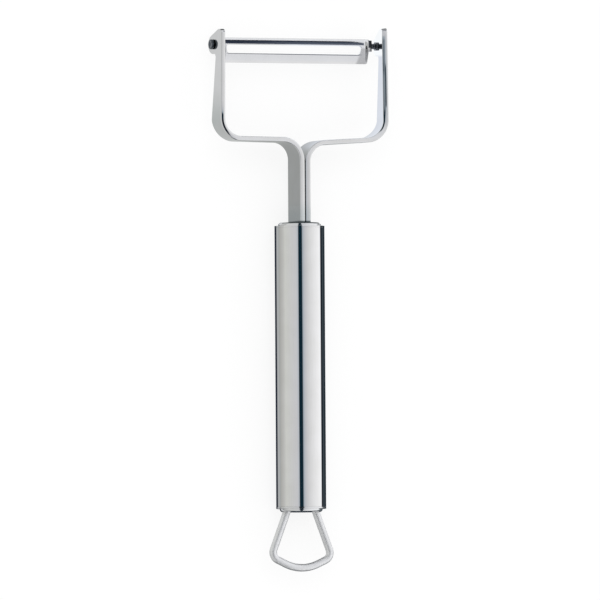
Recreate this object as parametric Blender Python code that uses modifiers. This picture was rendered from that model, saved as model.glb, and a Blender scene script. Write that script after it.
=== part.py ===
"""A swivel peeler of polished steel: a round handle, a fork of two bent strips, a slotted blade that
swings on two pins between the fork's ears, and a wire loop to hang the peeler by.

It lies on its back. The head points along +Y, the loop along -Y and the front looks up along +Z.
Depths are measured back from the front plane, in which the front edges of both strips lie.
"""

import math

import bmesh
import bpy
from mathutils import Matrix, Vector

# Handle
HANDLE_DIAMETER = 0.0180
HANDLE_LENGTH = 0.1042
TUBE_WALL = 0.0012
SHOULDER_RADIUS = 0.0016
CAP_RIM = 0.0018
TOP_SPIGOT_LENGTH = 0.0080
END_SPIGOT_LENGTH = 0.0080

# Fork strips
STRIP_THICKNESS = 0.0017
STRIP_EDGE_ROUND = 0.0004
STRIP_EDGE_SEGMENTS = 2
NECK_WIDTH = 0.0116
NECK_SEAM = 0.0006
TANG_LENGTH = 0.0140
BEND_RADIUS = 0.0064
BAR_HEIGHT = {"left": 0.0300, "right": 0.0303}
BAR_RISE = {"left": math.radians(0.6), "right": math.radians(3.5)}
ARM_SPREAD = 0.0650
ARM_TOP = {"left": 0.0693, "right": 0.0702}
ARM_LEAN = math.radians(0.5)
ARM_TOE_OUT = math.radians(4.5)
ARM_BASE_WIDTH = 0.0077
ARM_NECKED_WIDTH = 0.0046
ARM_TIP_WIDTH = 0.0030
TIP_CORNER_RADIUS = 0.0014
TAPER_BLEND_RADIUS = 0.0200

# Ears and pins
PIVOT_HEIGHT = 0.0639
PIVOT_DEPTH = 0.0066
EAR_DEPTH = 0.0070
EAR_RADIUS = 0.0035
EAR_FILLET = 0.0013
PIN_DIAMETER = 0.0020
PIN_HEAD_DIAMETER = 0.0036
PIN_HEAD_HEIGHT = 0.0009
PIN_HEAD_ROUND = 0.0003
PIN_HEAD_DIMPLE = 0.0004
PIN_REACH_IN = 0.0007

# Blade
BLADE_THICKNESS = 0.0009
BLADE_WIDTH = 0.0090
BLADE_DROP = 0.0021
BLADE_ARCH_RADIUS = 0.0080
BLADE_ARCH_FADE = 0.0045
BLADE_BEND_RADIUS = 0.0009
BLADE_CORNER_CUT = 0.0008
BLADE_CORNER_RADIUS = 0.0008
LUG_RADIUS = 0.0020
LUG_END_GAP = 0.0004
PIN_SHOWING = 0.0028
SLOT_WIDTH = 0.0032
SLOT_LENGTH = 0.0520
SLOT_OFFSET = -0.0010
SLOT_DROP = -0.0005
SLOT_CORNER_RADIUS = 0.0010
EDGE_BEVEL = 0.0007
BLADE_AHEAD_OF_PIVOT = 0.0024

# Hanging loop
WIRE_DIAMETER = 0.0027
LEG_SPACING = 0.0114
LEG_ANGLE = math.radians(21.0)
LEG_TANG = 0.0065
LOOP_DROP = 0.0214
LOOP_CORNER_RADIUS = 0.0030
LOOP_BOTTOM_RADIUS = 0.0150
LOOP_BOTTOM_SLOPE = math.radians(25.0)

# Fits and facets
FIT_GAP = 0.0003
PIN_CLEARANCE = 0.0001
SEAM_GAP = 0.0001
SPARE_CUT = 0.0040
ARC_STEP = math.radians(12.0)
TURNED_STEPS = 48
HOLE_STEPS = 24
SHOULDER_STEPS = 6
WIRE_RESOLUTION = 3
ARCH_STRIPS = 8
FADE_STRIPS = 6
# A corner's arc and the next one's may take this much of the straight run between them.
MOST_OF_RUN = 0.98
SAME_FACE_ANGLE = math.radians(0.5)

HANDLE_RADIUS = HANDLE_DIAMETER / 2
HALF_STRIP = STRIP_THICKNESS / 2
HALF_BLADE = BLADE_THICKNESS / 2
FRONT = NECK_WIDTH / 2
PIVOT_Z = FRONT - PIVOT_DEPTH
# The handle's top end lies at this Y, so that the origin is under the middle of the whole length.
HANDLE_TOP_Y = (HANDLE_LENGTH + LOOP_DROP - max(ARM_TOP.values())) / 2
AXIS_Z = HANDLE_RADIUS

FINISHES = {
    "polished_steel": ((0.62, 0.63, 0.64, 1.0), 0.08, 1.0),
    "ground_steel": ((0.58, 0.59, 0.60, 1.0), 0.18, 1.0),
    "turned_steel": ((0.50, 0.51, 0.52, 1.0), 0.25, 1.0),
}


def clear_scene():
    for thing in list(bpy.data.objects):
        bpy.data.objects.remove(thing, do_unlink=True)


def new_collection(name):
    group = bpy.data.collections.new(name)
    bpy.context.scene.collection.children.link(group)
    return group


def finish_material(part_name, finish):
    colour, roughness, metallic = FINISHES[finish]
    material = bpy.data.materials.new(part_name + "_" + finish)
    material.use_nodes = True
    shader = material.node_tree.nodes["Principled BSDF"]
    shader.inputs["Base Color"].default_value = colour
    shader.inputs["Roughness"].default_value = roughness
    shader.inputs["Metallic"].default_value = metallic
    return material


def half_corner_angle(before, here, after):
    return (before - here).angle(after - here) / 2


def arc_reaches(places, radii):
    """How far the arc of each corner reaches along its two runs, made smaller where a run is too short."""
    count = len(places)
    reaches = []
    for index, radius in enumerate(radii):
        around = (places[index - 1], places[index], places[(index + 1) % count])
        reaches.append(radius / math.tan(half_corner_angle(*around)) if radius > 0 else 0.0)
    shares = []
    for index in range(count):
        following = (index + 1) % count
        room = (places[following] - places[index]).length * MOST_OF_RUN
        wanted = reaches[index] + reaches[following]
        shares.append(room / wanted if wanted > room else 1.0)
    return [reach * min(shares[index - 1], shares[index]) for index, reach in enumerate(reaches)]


def rounded_outline(corners, closed=True):
    """Points along a chain of straight runs whose corners, (x, y, radius), are rounded with arcs."""
    count = len(corners)
    places = [Vector((x, y)) for x, y, radius in corners]
    radii = [radius for x, y, radius in corners]
    if not closed:
        radii[0] = radii[-1] = 0.0
    points = []
    for index, reach in enumerate(arc_reaches(places, radii)):
        before, here, after = places[index - 1], places[index], places[(index + 1) % count]
        if reach == 0:
            points.append(here)
            continue
        half_angle = half_corner_angle(before, here, after)
        to_before = (before - here).normalized()
        to_after = (after - here).normalized()
        bisector = (to_before + to_after).normalized()
        centre = here + bisector * reach / math.cos(half_angle)
        start = here + to_before * reach - centre
        turn = math.pi - 2 * half_angle
        way = 1 if to_before.cross(to_after) < 0 else -1
        steps = max(2, math.ceil(turn / ARC_STEP))
        for step in range(steps + 1):
            spin = Matrix.Rotation(way * turn * step / steps, 2)
            points.append(centre + spin @ start)
    return points


def circle(x, y, radius, steps=HOLE_STEPS):
    """A round outline's points."""
    angles = [2 * math.pi * step / steps for step in range(steps)]
    return [Vector((x + radius * math.cos(angle), y + radius * math.sin(angle))) for angle in angles]


def object_from_mesh(name, mesh, group):
    thing = bpy.data.objects.new(name, mesh)
    group.objects.link(thing)
    return thing


def mesh_of_curve(curve_object, name):
    """A plain mesh of a curve object, its caps welded on, in the place of the curve."""
    bpy.context.view_layer.update()
    evaluated = curve_object.evaluated_get(bpy.context.evaluated_depsgraph_get())
    mesh = bpy.data.meshes.new_from_object(evaluated)
    mesh.name = name
    work = bmesh.new()
    work.from_mesh(mesh)
    bmesh.ops.remove_doubles(work, verts=work.verts, dist=1e-6)
    bmesh.ops.recalc_face_normals(work, faces=work.faces)
    work.to_mesh(mesh)
    work.free()
    curve_data = curve_object.data
    bpy.data.objects.remove(curve_object, do_unlink=True)
    bpy.data.curves.remove(curve_data)
    return mesh


def flat_plate(name, outlines, thickness, group):
    """The mesh of a plate in the XY plane: the first outline is its edge and the others are holes."""
    curve = bpy.data.curves.new(name + "_outline", "CURVE")
    curve.dimensions = "2D"
    curve.fill_mode = "BOTH"
    curve.extrude = thickness / 2
    for outline in outlines:
        spline = curve.splines.new("POLY")
        spline.points.add(len(outline) - 1)
        for point, place in zip(spline.points, outline):
            point.co = (place.x, place.y, 0.0, 1.0)
        spline.use_cyclic_u = True
    guide = bpy.data.objects.new(name + "_outline", curve)
    group.objects.link(guide)
    return mesh_of_curve(guide, name)


def cut_across(work, places, direction):
    """Cuts every face of a bmesh with planes square to a direction, so that it can bend there."""
    for place in places:
        bmesh.ops.bisect_plane(
            work,
            geom=work.verts[:] + work.edges[:] + work.faces[:],
            dist=1e-7,
            plane_co=direction * place,
            plane_no=direction,
        )


class BendPath:
    """A chain of short straight runs that a plate is bent along, mitred where two runs meet."""

    def __init__(self, points):
        self.points = points
        self.lengths = [0.0]
        headings = []
        for start, end in zip(points, points[1:]):
            self.lengths.append(self.lengths[-1] + (end - start).length)
            headings.append((end - start).normalized())
        self.mitres = []
        for index in range(len(points)):
            before = headings[max(index - 1, 0)]
            after = headings[min(index, len(headings) - 1)]
            middle = (before + after).normalized()
            self.mitres.append(Vector((-middle.y, middle.x)) / middle.dot(after))

    def place(self, along, offset):
        """The point that lies this far along the path and this far to the left of it."""
        index = 0
        while index < len(self.lengths) - 2 and along > self.lengths[index + 1]:
            index += 1
        share = (along - self.lengths[index]) / (self.lengths[index + 1] - self.lengths[index])
        start = self.points[index] + self.mitres[index] * offset
        end = self.points[index + 1] + self.mitres[index + 1] * offset
        return start.lerp(end, share)


def bend_plate(mesh, shape, cuts_along, cuts_across=()):
    """Cuts a flat plate where it is to bend, then moves each of its points to shape(along, across, up)."""
    work = bmesh.new()
    work.from_mesh(mesh)
    bmesh.ops.dissolve_limit(
        work, angle_limit=SAME_FACE_ANGLE, verts=work.verts, edges=work.edges
    )
    cut_across(work, cuts_along, Vector((1, 0, 0)))
    cut_across(work, cuts_across, Vector((0, 1, 0)))
    for vertex in work.verts:
        vertex.co = shape(*vertex.co)
    bmesh.ops.remove_doubles(work, verts=work.verts, dist=1e-6)
    bmesh.ops.recalc_face_normals(work, faces=work.faces)
    work.to_mesh(mesh)
    work.free()


def add_bevel(thing, width, segments):
    bevel = thing.modifiers.new("rounded_edges", "BEVEL")
    bevel.width = width
    bevel.segments = segments
    bevel.limit_method = "ANGLE"
    bevel.angle_limit = math.radians(45)


def turned(name, profile, group, steps=TURNED_STEPS):
    """A turned piece about its own Z. The profile of (radius, height) runs down its outer side."""
    mesh = bpy.data.meshes.new(name)
    work = bmesh.new()
    points = [work.verts.new((radius, 0.0, height)) for radius, height in profile]
    for start, end in zip(points, points[1:]):
        work.edges.new((start, end))
    work.to_mesh(mesh)
    work.free()
    thing = object_from_mesh(name, mesh, group)
    screw = thing.modifiers.new("turning", "SCREW")
    screw.axis = "Z"
    screw.steps = steps
    screw.render_steps = steps
    screw.use_merge_vertices = True
    screw.merge_threshold = 1e-6
    screw.use_smooth_shade = True
    return thing


def cut_with(thing, cutter):
    boolean = thing.modifiers.new("cut_" + cutter.name, "BOOLEAN")
    boolean.operation = "DIFFERENCE"
    boolean.solver = "EXACT"
    boolean.object = cutter


def as_cutter(thing):
    thing.hide_render = True
    thing.display_type = "WIRE"
    return thing


def arm_line_x(height):
    """How far the middle of an arm's front edge lies from the handle's axis at a height over the handle."""
    return ARM_SPREAD / 2 - HALF_STRIP + math.tan(ARM_LEAN) * (PIVOT_HEIGHT - height)


def strip_path(side):
    """The centre line of a fork strip, seen from the front: up the neck, out along the bar, up the arm."""
    neck_x = NECK_SEAM / 2 + HALF_STRIP
    bar_end = BAR_HEIGHT[side]
    bar_end_x = arm_line_x(bar_end)
    bar_start = bar_end - math.tan(BAR_RISE[side]) * (bar_end_x - neck_x)
    radius = BEND_RADIUS + HALF_STRIP
    corners = [
        (neck_x, -TANG_LENGTH, 0.0),
        (neck_x, bar_start, radius),
        (bar_end_x, bar_end, radius),
        (arm_line_x(ARM_TOP[side]), ARM_TOP[side], 0.0),
    ]
    return BendPath(rounded_outline(corners, closed=False))


def strip_outlines(side, path):
    """A strip's flat blank and its pin hole: along its centre line in X, and back from its front edge in -Y."""
    end = path.lengths[-1]
    neck_end = TANG_LENGTH + BAR_HEIGHT[side] - BEND_RADIUS
    arm_start = end - (ARM_TOP[side] - BAR_HEIGHT[side] - BEND_RADIUS) / math.cos(ARM_LEAN)
    pivot = end - (ARM_TOP[side] - PIVOT_HEIGHT) / math.cos(ARM_LEAN)
    rear_most = EAR_DEPTH + EAR_RADIUS
    # The slanting edge from the tip touches the ear's round.
    to_ear = Vector((pivot - end, EAR_DEPTH - ARM_TIP_WIDTH))
    slant = math.atan2(to_ear.y, to_ear.x) - math.asin(EAR_RADIUS / to_ear.length)
    slant_run = (rear_most - ARM_TIP_WIDTH) / math.tan(slant)
    corners = [
        (0.0, 0.0, 0.0),
        (end, 0.0, TIP_CORNER_RADIUS),
        (end, ARM_TIP_WIDTH, TIP_CORNER_RADIUS),
        (end + slant_run, rear_most, EAR_RADIUS),
        (pivot - EAR_RADIUS, rear_most, EAR_RADIUS),
        (pivot - EAR_RADIUS, ARM_NECKED_WIDTH, EAR_FILLET),
        (arm_start, ARM_BASE_WIDTH, TAPER_BLEND_RADIUS),
        (neck_end, NECK_WIDTH, TAPER_BLEND_RADIUS),
        (0.0, NECK_WIDTH, 0.0),
    ]
    outline = rounded_outline([(along, -depth, radius) for along, depth, radius in corners])
    return [outline, circle(pivot, -PIVOT_DEPTH, PIN_DIAMETER / 2 + PIN_CLEARANCE)]


def toe_out(side, height, depth):
    """How far a point of an arm stands out because the arms open towards the back."""
    rise = (height - BAR_HEIGHT[side]) / BEND_RADIUS
    share = min(max(rise, 0.0), 1.0)
    return math.tan(ARM_TOE_OUT) * depth * share


def make_strip(side, parts):
    """One half of the fork, cut flat with its ear and pin hole, and bent along its centre line."""
    sign = -1 if side == "left" else 1
    name = "fork_strip_" + side
    path = strip_path(side)
    mesh = flat_plate(name, strip_outlines(side, path), STRIP_THICKNESS, parts)

    def bent(along, across, up):
        place = path.place(along, up)
        outward = place.x + toe_out(side, place.y, -across)
        return Vector((sign * outward, place.y + HANDLE_TOP_Y, across + FRONT + AXIS_Z))

    bend_plate(mesh, bent, path.lengths[1:-1])
    strip = object_from_mesh(name, mesh, parts)
    add_bevel(strip, STRIP_EDGE_ROUND, STRIP_EDGE_SEGMENTS)
    strip.data.materials.append(finish_material(name, "polished_steel"))
    return strip


def make_tube(parts):
    """The handle's tube, open at both ends, between the rims of its two caps."""
    top = -CAP_RIM - SEAM_GAP
    bottom = CAP_RIM + SEAM_GAP - HANDLE_LENGTH
    inside = HANDLE_RADIUS - TUBE_WALL
    profile = [
        (inside, top),
        (HANDLE_RADIUS, top),
        (HANDLE_RADIUS, bottom),
        (inside, bottom),
        (inside, top),
    ]
    tube = turned("handle_tube", profile, parts)
    place_on_axis(tube)
    tube.data.materials.append(finish_material("handle_tube", "polished_steel"))
    return tube


def place_on_axis(thing, facing=1):
    """Lays a turned piece along the handle's axis, its Z pointing to the head, or to the loop."""
    thing.location = (0.0, HANDLE_TOP_Y, AXIS_Z)
    thing.rotation_euler = (-math.pi / 2 * facing, 0.0, 0.0)


def cap_profile(spigot_length):
    """A cap from the middle of its rounded outer face, round the rim, to the end of its spigot."""
    spigot = HANDLE_RADIUS - TUBE_WALL - FIT_GAP
    profile = [(0.0, 0.0)]
    for step in range(SHOULDER_STEPS + 1):
        angle = math.pi / 2 * step / SHOULDER_STEPS
        radius = HANDLE_RADIUS - SHOULDER_RADIUS + SHOULDER_RADIUS * math.sin(angle)
        profile.append((radius, SHOULDER_RADIUS * (math.cos(angle) - 1)))
    profile += [
        (HANDLE_RADIUS, -CAP_RIM),
        (spigot, -CAP_RIM),
        (spigot, -CAP_RIM - spigot_length),
        (0.0, -CAP_RIM - spigot_length),
    ]
    return profile


def make_top_cap(parts, cutters):
    """The cap that closes the handle's top, with the slot that both strips stand in."""
    cap = turned("handle_top_cap", cap_profile(TOP_SPIGOT_LENGTH), parts)
    place_on_axis(cap)
    cap.data.materials.append(finish_material("handle_top_cap", "polished_steel"))
    slot_width = 2 * STRIP_THICKNESS + NECK_SEAM + 2 * FIT_GAP
    slot_depth = NECK_WIDTH + 2 * FIT_GAP
    # Its middle lies at the cap's outer face, so it runs past both ends of the cap.
    slot_length = 2 * (CAP_RIM + TOP_SPIGOT_LENGTH + SPARE_CUT)
    bpy.ops.mesh.primitive_cube_add(size=1.0, location=(0.0, HANDLE_TOP_Y, AXIS_Z))
    cutter = bpy.context.object
    cutter.name = "neck_slot_cutter"
    cutter.scale = (slot_width, slot_length, slot_depth)
    move_to(cutter, cutters)
    cut_with(cap, as_cutter(cutter))
    return cap


def move_to(thing, group):
    for holder in list(thing.users_collection):
        holder.objects.unlink(thing)
    group.objects.link(thing)


def leg_line():
    """Where the middle of the loop's right leg passes the handle's end, and the way it runs from there."""
    start = Vector((LEG_SPACING / 2, -HANDLE_LENGTH))
    return start, Vector((math.sin(LEG_ANGLE), -math.cos(LEG_ANGLE)))


def loop_points():
    """The centre line of the loop's wire, from the end of one leg round to the end of the other."""
    start, down = leg_line()
    inner_end = start - down * LEG_TANG
    lowest = -HANDLE_LENGTH - LOOP_DROP + WIRE_DIAMETER / 2
    bottom = lowest - LOOP_BOTTOM_RADIUS * (1 / math.cos(LOOP_BOTTOM_SLOPE) - 1)
    # The corner is where the leg's line meets the sloping line from the loop's lowest corner.
    slope = math.tan(LOOP_BOTTOM_SLOPE)
    reach = (start.y - bottom - slope * start.x) / (slope * down.x - down.y)
    corner = start + down * reach
    half = [
        (inner_end.x, inner_end.y, 0.0),
        (corner.x, corner.y, LOOP_CORNER_RADIUS),
        (0.0, bottom, LOOP_BOTTOM_RADIUS),
    ]
    others = [(-x, y, radius) for x, y, radius in reversed(half[:-1])]
    return rounded_outline(half + others, closed=False)


def make_loop(parts):
    """The bent wire that the peeler hangs by."""
    curve = bpy.data.curves.new("hanging_loop_wire", "CURVE")
    curve.dimensions = "3D"
    curve.bevel_depth = WIRE_DIAMETER / 2
    curve.bevel_resolution = WIRE_RESOLUTION
    curve.use_fill_caps = True
    places = loop_points()
    spline = curve.splines.new("POLY")
    spline.points.add(len(places) - 1)
    for point, place in zip(spline.points, places):
        point.co = (place.x, place.y + HANDLE_TOP_Y, AXIS_Z, 1.0)
    loop = bpy.data.objects.new("hanging_loop", curve)
    parts.objects.link(loop)
    curve.materials.append(finish_material("hanging_loop", "polished_steel"))
    return loop


def make_end_cap(parts, cutters):
    """The cap that closes the handle's lower end, with a slanting hole for each leg of the loop."""
    cap = turned("handle_end_cap", cap_profile(END_SPIGOT_LENGTH), parts)
    place_on_axis(cap, facing=-1)
    cap.location.y -= HANDLE_LENGTH
    cap.data.materials.append(finish_material("handle_end_cap", "polished_steel"))
    start, down = leg_line()
    length = 2 * (CAP_RIM + END_SPIGOT_LENGTH + SPARE_CUT)
    for side, sign in (("left", -1), ("right", 1)):
        bpy.ops.mesh.primitive_cylinder_add(
            vertices=HOLE_STEPS, radius=WIRE_DIAMETER / 2 + FIT_GAP, depth=length
        )
        cutter = bpy.context.object
        cutter.name = "leg_hole_cutter_" + side
        cutter.location = (sign * start.x, start.y + HANDLE_TOP_Y, AXIS_Z)
        way = Vector((sign * down.x, down.y, 0.0))
        cutter.rotation_euler = way.to_track_quat("Z", "X").to_euler()
        move_to(cutter, cutters)
        cut_with(cap, as_cutter(cutter))
    return cap


def inner_face_x():
    """How far an ear's inner face lies from the middle, at the pins."""
    return arm_line_x(PIVOT_HEIGHT) - HALF_STRIP + math.tan(ARM_TOE_OUT) * PIVOT_DEPTH


def blade_ends():
    """The X of the outer faces of the blade's left and right lugs. It has slid to the left ear."""
    left = -inner_face_x() + LUG_END_GAP
    right = inner_face_x() - PIN_SHOWING
    return left, right


def make_pin(side, parts):
    """A pin with a dimpled head on the outside of its ear, through the ear and the blade's lug."""
    sign = -1 if side == "left" else 1
    left, right = blade_ends()
    lug_face = left if side == "left" else right
    tip = abs(lug_face) - BLADE_THICKNESS - PIN_REACH_IN
    ear_face = arm_line_x(PIVOT_HEIGHT) + HALF_STRIP + math.tan(ARM_TOE_OUT) * PIVOT_DEPTH
    lifted = math.tan(ARM_TOE_OUT) * PIN_HEAD_DIAMETER / 2
    seat = ear_face + SEAM_GAP + lifted
    head = PIN_HEAD_DIAMETER / 2
    shank = PIN_DIAMETER / 2
    profile = [
        (0.0, seat + PIN_HEAD_HEIGHT - PIN_HEAD_DIMPLE),
        (shank, seat + PIN_HEAD_HEIGHT),
        (head - PIN_HEAD_ROUND, seat + PIN_HEAD_HEIGHT),
        (head, seat + PIN_HEAD_HEIGHT - PIN_HEAD_ROUND),
        (head, seat),
        (shank, seat),
        (shank, tip),
        (0.0, tip),
    ]
    name = "pivot_pin_" + side
    pin = turned(name, profile, parts, steps=HOLE_STEPS)
    pin.location = (0.0, HANDLE_TOP_Y + PIVOT_HEIGHT, AXIS_Z + PIVOT_Z)
    pin.rotation_euler = (0.0, sign * math.pi / 2, 0.0)
    pin.data.materials.append(finish_material(name, "turned_steel"))
    return pin


def blade_path(plate_half):
    """The blade's centre line seen from its edge: the plate, then a lug bent back at each end."""
    radius = BLADE_BEND_RADIUS + HALF_BLADE
    lug_x = plate_half + radius
    lug_end = -BLADE_AHEAD_OF_PIVOT - LUG_RADIUS
    corners = [
        (-lug_x, lug_end, 0.0),
        (-lug_x, 0.0, radius),
        (lug_x, 0.0, radius),
        (lug_x, lug_end, 0.0),
    ]
    return BendPath(rounded_outline(corners, closed=False))


def blade_outlines(path, plate_half):
    """The blade's flat blank, its slot and its pin holes, with the blade's pivot line at Y = 0."""
    half = path.lengths[-1] / 2
    low = -BLADE_DROP - BLADE_WIDTH / 2
    high = -BLADE_DROP + BLADE_WIDTH / 2
    right = [
        (plate_half, high, BLADE_CORNER_RADIUS),
        (plate_half, LUG_RADIUS, 0.0),
        (half, LUG_RADIUS, LUG_RADIUS),
        (half, -LUG_RADIUS, LUG_RADIUS),
        (plate_half, -LUG_RADIUS, 0.0),
        (plate_half - BLADE_CORNER_CUT, low, BLADE_CORNER_RADIUS),
    ]
    left = [(-x, y, radius) for x, y, radius in reversed(right)]
    outline = [(x + half, y, radius) for x, y, radius in right + left]
    middle = -BLADE_DROP - SLOT_DROP
    slot_left = half + SLOT_OFFSET - SLOT_LENGTH / 2
    slot_right = slot_left + SLOT_LENGTH
    slot = [
        (slot_left, middle - SLOT_WIDTH / 2, SLOT_CORNER_RADIUS),
        (slot_right, middle - SLOT_WIDTH / 2, SLOT_CORNER_RADIUS),
        (slot_right, middle + SLOT_WIDTH / 2, SLOT_CORNER_RADIUS),
        (slot_left, middle + SLOT_WIDTH / 2, SLOT_CORNER_RADIUS),
    ]
    hole = PIN_DIAMETER / 2 + PIN_CLEARANCE
    holes = [circle(x, 0.0, hole) for x in (LUG_RADIUS, path.lengths[-1] - LUG_RADIUS)]
    return [rounded_outline(outline), rounded_outline(slot)] + holes


def make_blade(parts, pivot):
    """The blade: a slotted plate, arched across, whose lugs are bent back to hang on the pins."""
    left, right = blade_ends()
    plate_half = (right - left) / 2 - BLADE_THICKNESS - BLADE_BEND_RADIUS
    path = blade_path(plate_half)
    mesh = flat_plate("blade", blade_outlines(path, plate_half), BLADE_THICKNESS, parts)
    middle = (left + right) / 2
    slot_low = -BLADE_DROP - SLOT_DROP - SLOT_WIDTH / 2
    half = path.lengths[-1] / 2

    def bent(along, across, up):
        # The slot's lower edge is ground back on the front, which leaves the cutting edge behind.
        on_edge = abs(across - slot_low) < 1e-6 and abs(along - half) < SLOT_LENGTH / 2
        if on_edge and up > 0:
            across -= EDGE_BEVEL
        place = path.place(along, up)
        flat = Vector((place.x + middle, across, place.y))
        angle = (across + BLADE_DROP) / BLADE_ARCH_RADIUS
        radius = BLADE_ARCH_RADIUS + up
        lift = BLADE_ARCH_RADIUS * math.cos(BLADE_WIDTH / 2 / BLADE_ARCH_RADIUS)
        arched = Vector(
            (flat.x, radius * math.sin(angle) - BLADE_DROP, radius * math.cos(angle) - lift)
        )
        share = (plate_half - abs(along - half)) / BLADE_ARCH_FADE
        share = min(max(share, 0.0), 1.0)
        share = share * share * (3 - 2 * share)
        return flat.lerp(arched, share) + Vector((0.0, 0.0, BLADE_AHEAD_OF_PIVOT))

    cuts_across = [
        -BLADE_DROP + BLADE_WIDTH * (index / ARCH_STRIPS - 0.5) for index in range(1, ARCH_STRIPS)
    ]
    cuts_along = path.lengths[1:-1]
    for index in range(1, FADE_STRIPS + 1):
        inset = BLADE_ARCH_FADE * index / FADE_STRIPS
        cuts_along += [half - plate_half + inset, half + plate_half - inset]
    bend_plate(mesh, bent, cuts_along, cuts_across)
    blade = object_from_mesh("blade", mesh, parts)
    blade.parent = pivot
    blade.data.materials.append(finish_material("blade", "ground_steel"))
    return blade


def make_pivot():
    """An empty on the pins' axis, which the blade swings about."""
    pivot = bpy.data.objects.new("blade_pivot", None)
    pivot.location = (0.0, HANDLE_TOP_Y + PIVOT_HEIGHT, AXIS_Z + PIVOT_Z)
    bpy.context.scene.collection.objects.link(pivot)
    return pivot


def main():
    clear_scene()
    parts = new_collection("vegetable_peeler")
    cutters = new_collection("cutters")
    make_tube(parts)
    make_top_cap(parts, cutters)
    make_end_cap(parts, cutters)
    for side in ("left", "right"):
        make_strip(side, parts)
        make_pin(side, parts)
    make_loop(parts)
    make_blade(parts, make_pivot())


main()
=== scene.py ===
# %% [markdown]
# A swivel peeler, dressed for a studio picture
#
# The object is a vegetable peeler of polished steel: a round hollow handle, a fork of two bent strips,
# a slotted blade that swings on two pins, and a loop of wire to hang it by. Its solids come from the
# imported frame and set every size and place. This file makes each piece again with finer curves and
# rounded edges, because a mirror finish shows every facet, and gives it a steel made of nodes.
#
# The peeler lies on its back: the head points along +Y, the loop along -Y, and the front faces +Z.

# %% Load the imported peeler
import math

import bmesh
import bpy
from mathutils import Matrix, Vector


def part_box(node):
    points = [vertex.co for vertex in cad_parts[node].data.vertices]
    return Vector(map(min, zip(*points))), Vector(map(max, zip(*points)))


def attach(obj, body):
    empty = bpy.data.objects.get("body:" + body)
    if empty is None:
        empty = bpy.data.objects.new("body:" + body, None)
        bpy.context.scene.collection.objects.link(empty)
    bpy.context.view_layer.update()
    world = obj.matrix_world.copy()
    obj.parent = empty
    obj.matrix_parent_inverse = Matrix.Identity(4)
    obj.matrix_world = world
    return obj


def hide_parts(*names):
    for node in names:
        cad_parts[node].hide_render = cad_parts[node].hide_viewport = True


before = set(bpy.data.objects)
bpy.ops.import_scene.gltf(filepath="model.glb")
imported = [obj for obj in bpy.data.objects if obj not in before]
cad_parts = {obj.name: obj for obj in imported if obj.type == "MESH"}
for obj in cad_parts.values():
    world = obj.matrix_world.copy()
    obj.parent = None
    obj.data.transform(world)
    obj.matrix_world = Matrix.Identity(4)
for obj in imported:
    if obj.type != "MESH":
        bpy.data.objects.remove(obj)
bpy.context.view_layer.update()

# %% [markdown]
# The sizes of the real pieces are written here once. What the frame can tell is measured from it: the
# handle's axis, its two ends and its radius come from the boxes of the two caps, so the fine pieces stay
# where the solids are.

# %% Measure the handle
top_low, top_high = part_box("handle_top_cap")
end_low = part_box("handle_end_cap")[0]
HANDLE_RADIUS = (top_high.x - top_low.x) / 2
HANDLE_TOP = top_high.y
HANDLE_END = end_low.y
AXIS_Z = (top_low.z + top_high.z) / 2
print("handle radius", HANDLE_RADIUS, "from", HANDLE_END, "to", HANDLE_TOP, "axis at", AXIS_Z)

# %% [markdown]
# A tree of nodes reads best as arithmetic. `Signal` wraps one socket, and its operators add the Math
# nodes that an expression needs, with the reflected forms so that `1 - mask` works too. `Graph` wraps a
# whole tree, and its one method `add` makes any other node: first its settings, then its sockets.

# %% Arithmetic on sockets
class Signal:
    def __init__(self, graph, socket):
        self.graph = graph
        self.socket = socket

    def math(self, operation, *others):
        return self.graph.calculate(operation, self, *others)

    def __add__(self, other):
        return self.math("ADD", other)

    def __radd__(self, other):
        return self.graph.calculate("ADD", other, self)

    def __sub__(self, other):
        return self.math("SUBTRACT", other)

    def __rsub__(self, other):
        return self.graph.calculate("SUBTRACT", other, self)

    def __mul__(self, other):
        return self.math("MULTIPLY", other)

    def __rmul__(self, other):
        return self.graph.calculate("MULTIPLY", other, self)

    def __truediv__(self, other):
        return self.math("DIVIDE", other)

    def __neg__(self):
        return self.math("MULTIPLY", -1.0)

    def clamped(self):
        return self.math("MAXIMUM", 0.0).math("MINIMUM", 1.0)

    def between(self, low, high):
        """0 below one value and 1 above the other, with a smooth rise."""
        share = ((self - low) / (high - low)).clamped()
        return share * share * (3 - 2 * share)


# %% One method for any node
class Graph:
    def __init__(self, tree):
        self.tree = tree

    def feed(self, socket, value):
        if isinstance(value, Signal):
            self.tree.links.new(value.socket, socket)
        else:
            socket.default_value = value

    def node(self, kind, settings=None, sockets=None):
        made = self.tree.nodes.new(kind)
        for name, value in (settings or {}).items():
            if name == "stops":
                self.fill_ramp(made.color_ramp, value)
            else:
                setattr(made, name, value)
        for key, value in (sockets or {}).items():
            self.feed(made.inputs[key], value)
        return made

    def add(self, kind, settings=None, sockets=None, output=0):
        return Signal(self, self.node(kind, settings, sockets).outputs[output])

    def fill_ramp(self, ramp, stops):
        while len(ramp.elements) < len(stops):
            ramp.elements.new(1.0)
        for element, (position, colour) in zip(ramp.elements, stops):
            element.position = position
            element.color = (*colour, 1.0)

    def calculate(self, operation, *values):
        return self.add("ShaderNodeMath", {"operation": operation}, dict(enumerate(values)))

    def vector(self, operation, *values):
        return self.add("ShaderNodeVectorMath", {"operation": operation}, dict(enumerate(values)))

    def split(self, vector):
        made = self.node("ShaderNodeSeparateXYZ", sockets={0: vector})
        return [Signal(self, socket) for socket in made.outputs]

    def join(self, x, y, z):
        return self.add("ShaderNodeCombineXYZ", sockets={0: x, 1: y, 2: z})

    def blend(self, share, first, second):
        """A colour that goes from the first to the second as the share goes from 0 to 1."""
        sockets = {0: share, 6: first, 7: second}
        return self.add("ShaderNodeMix", {"data_type": "RGBA"}, sockets, output=2)


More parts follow.
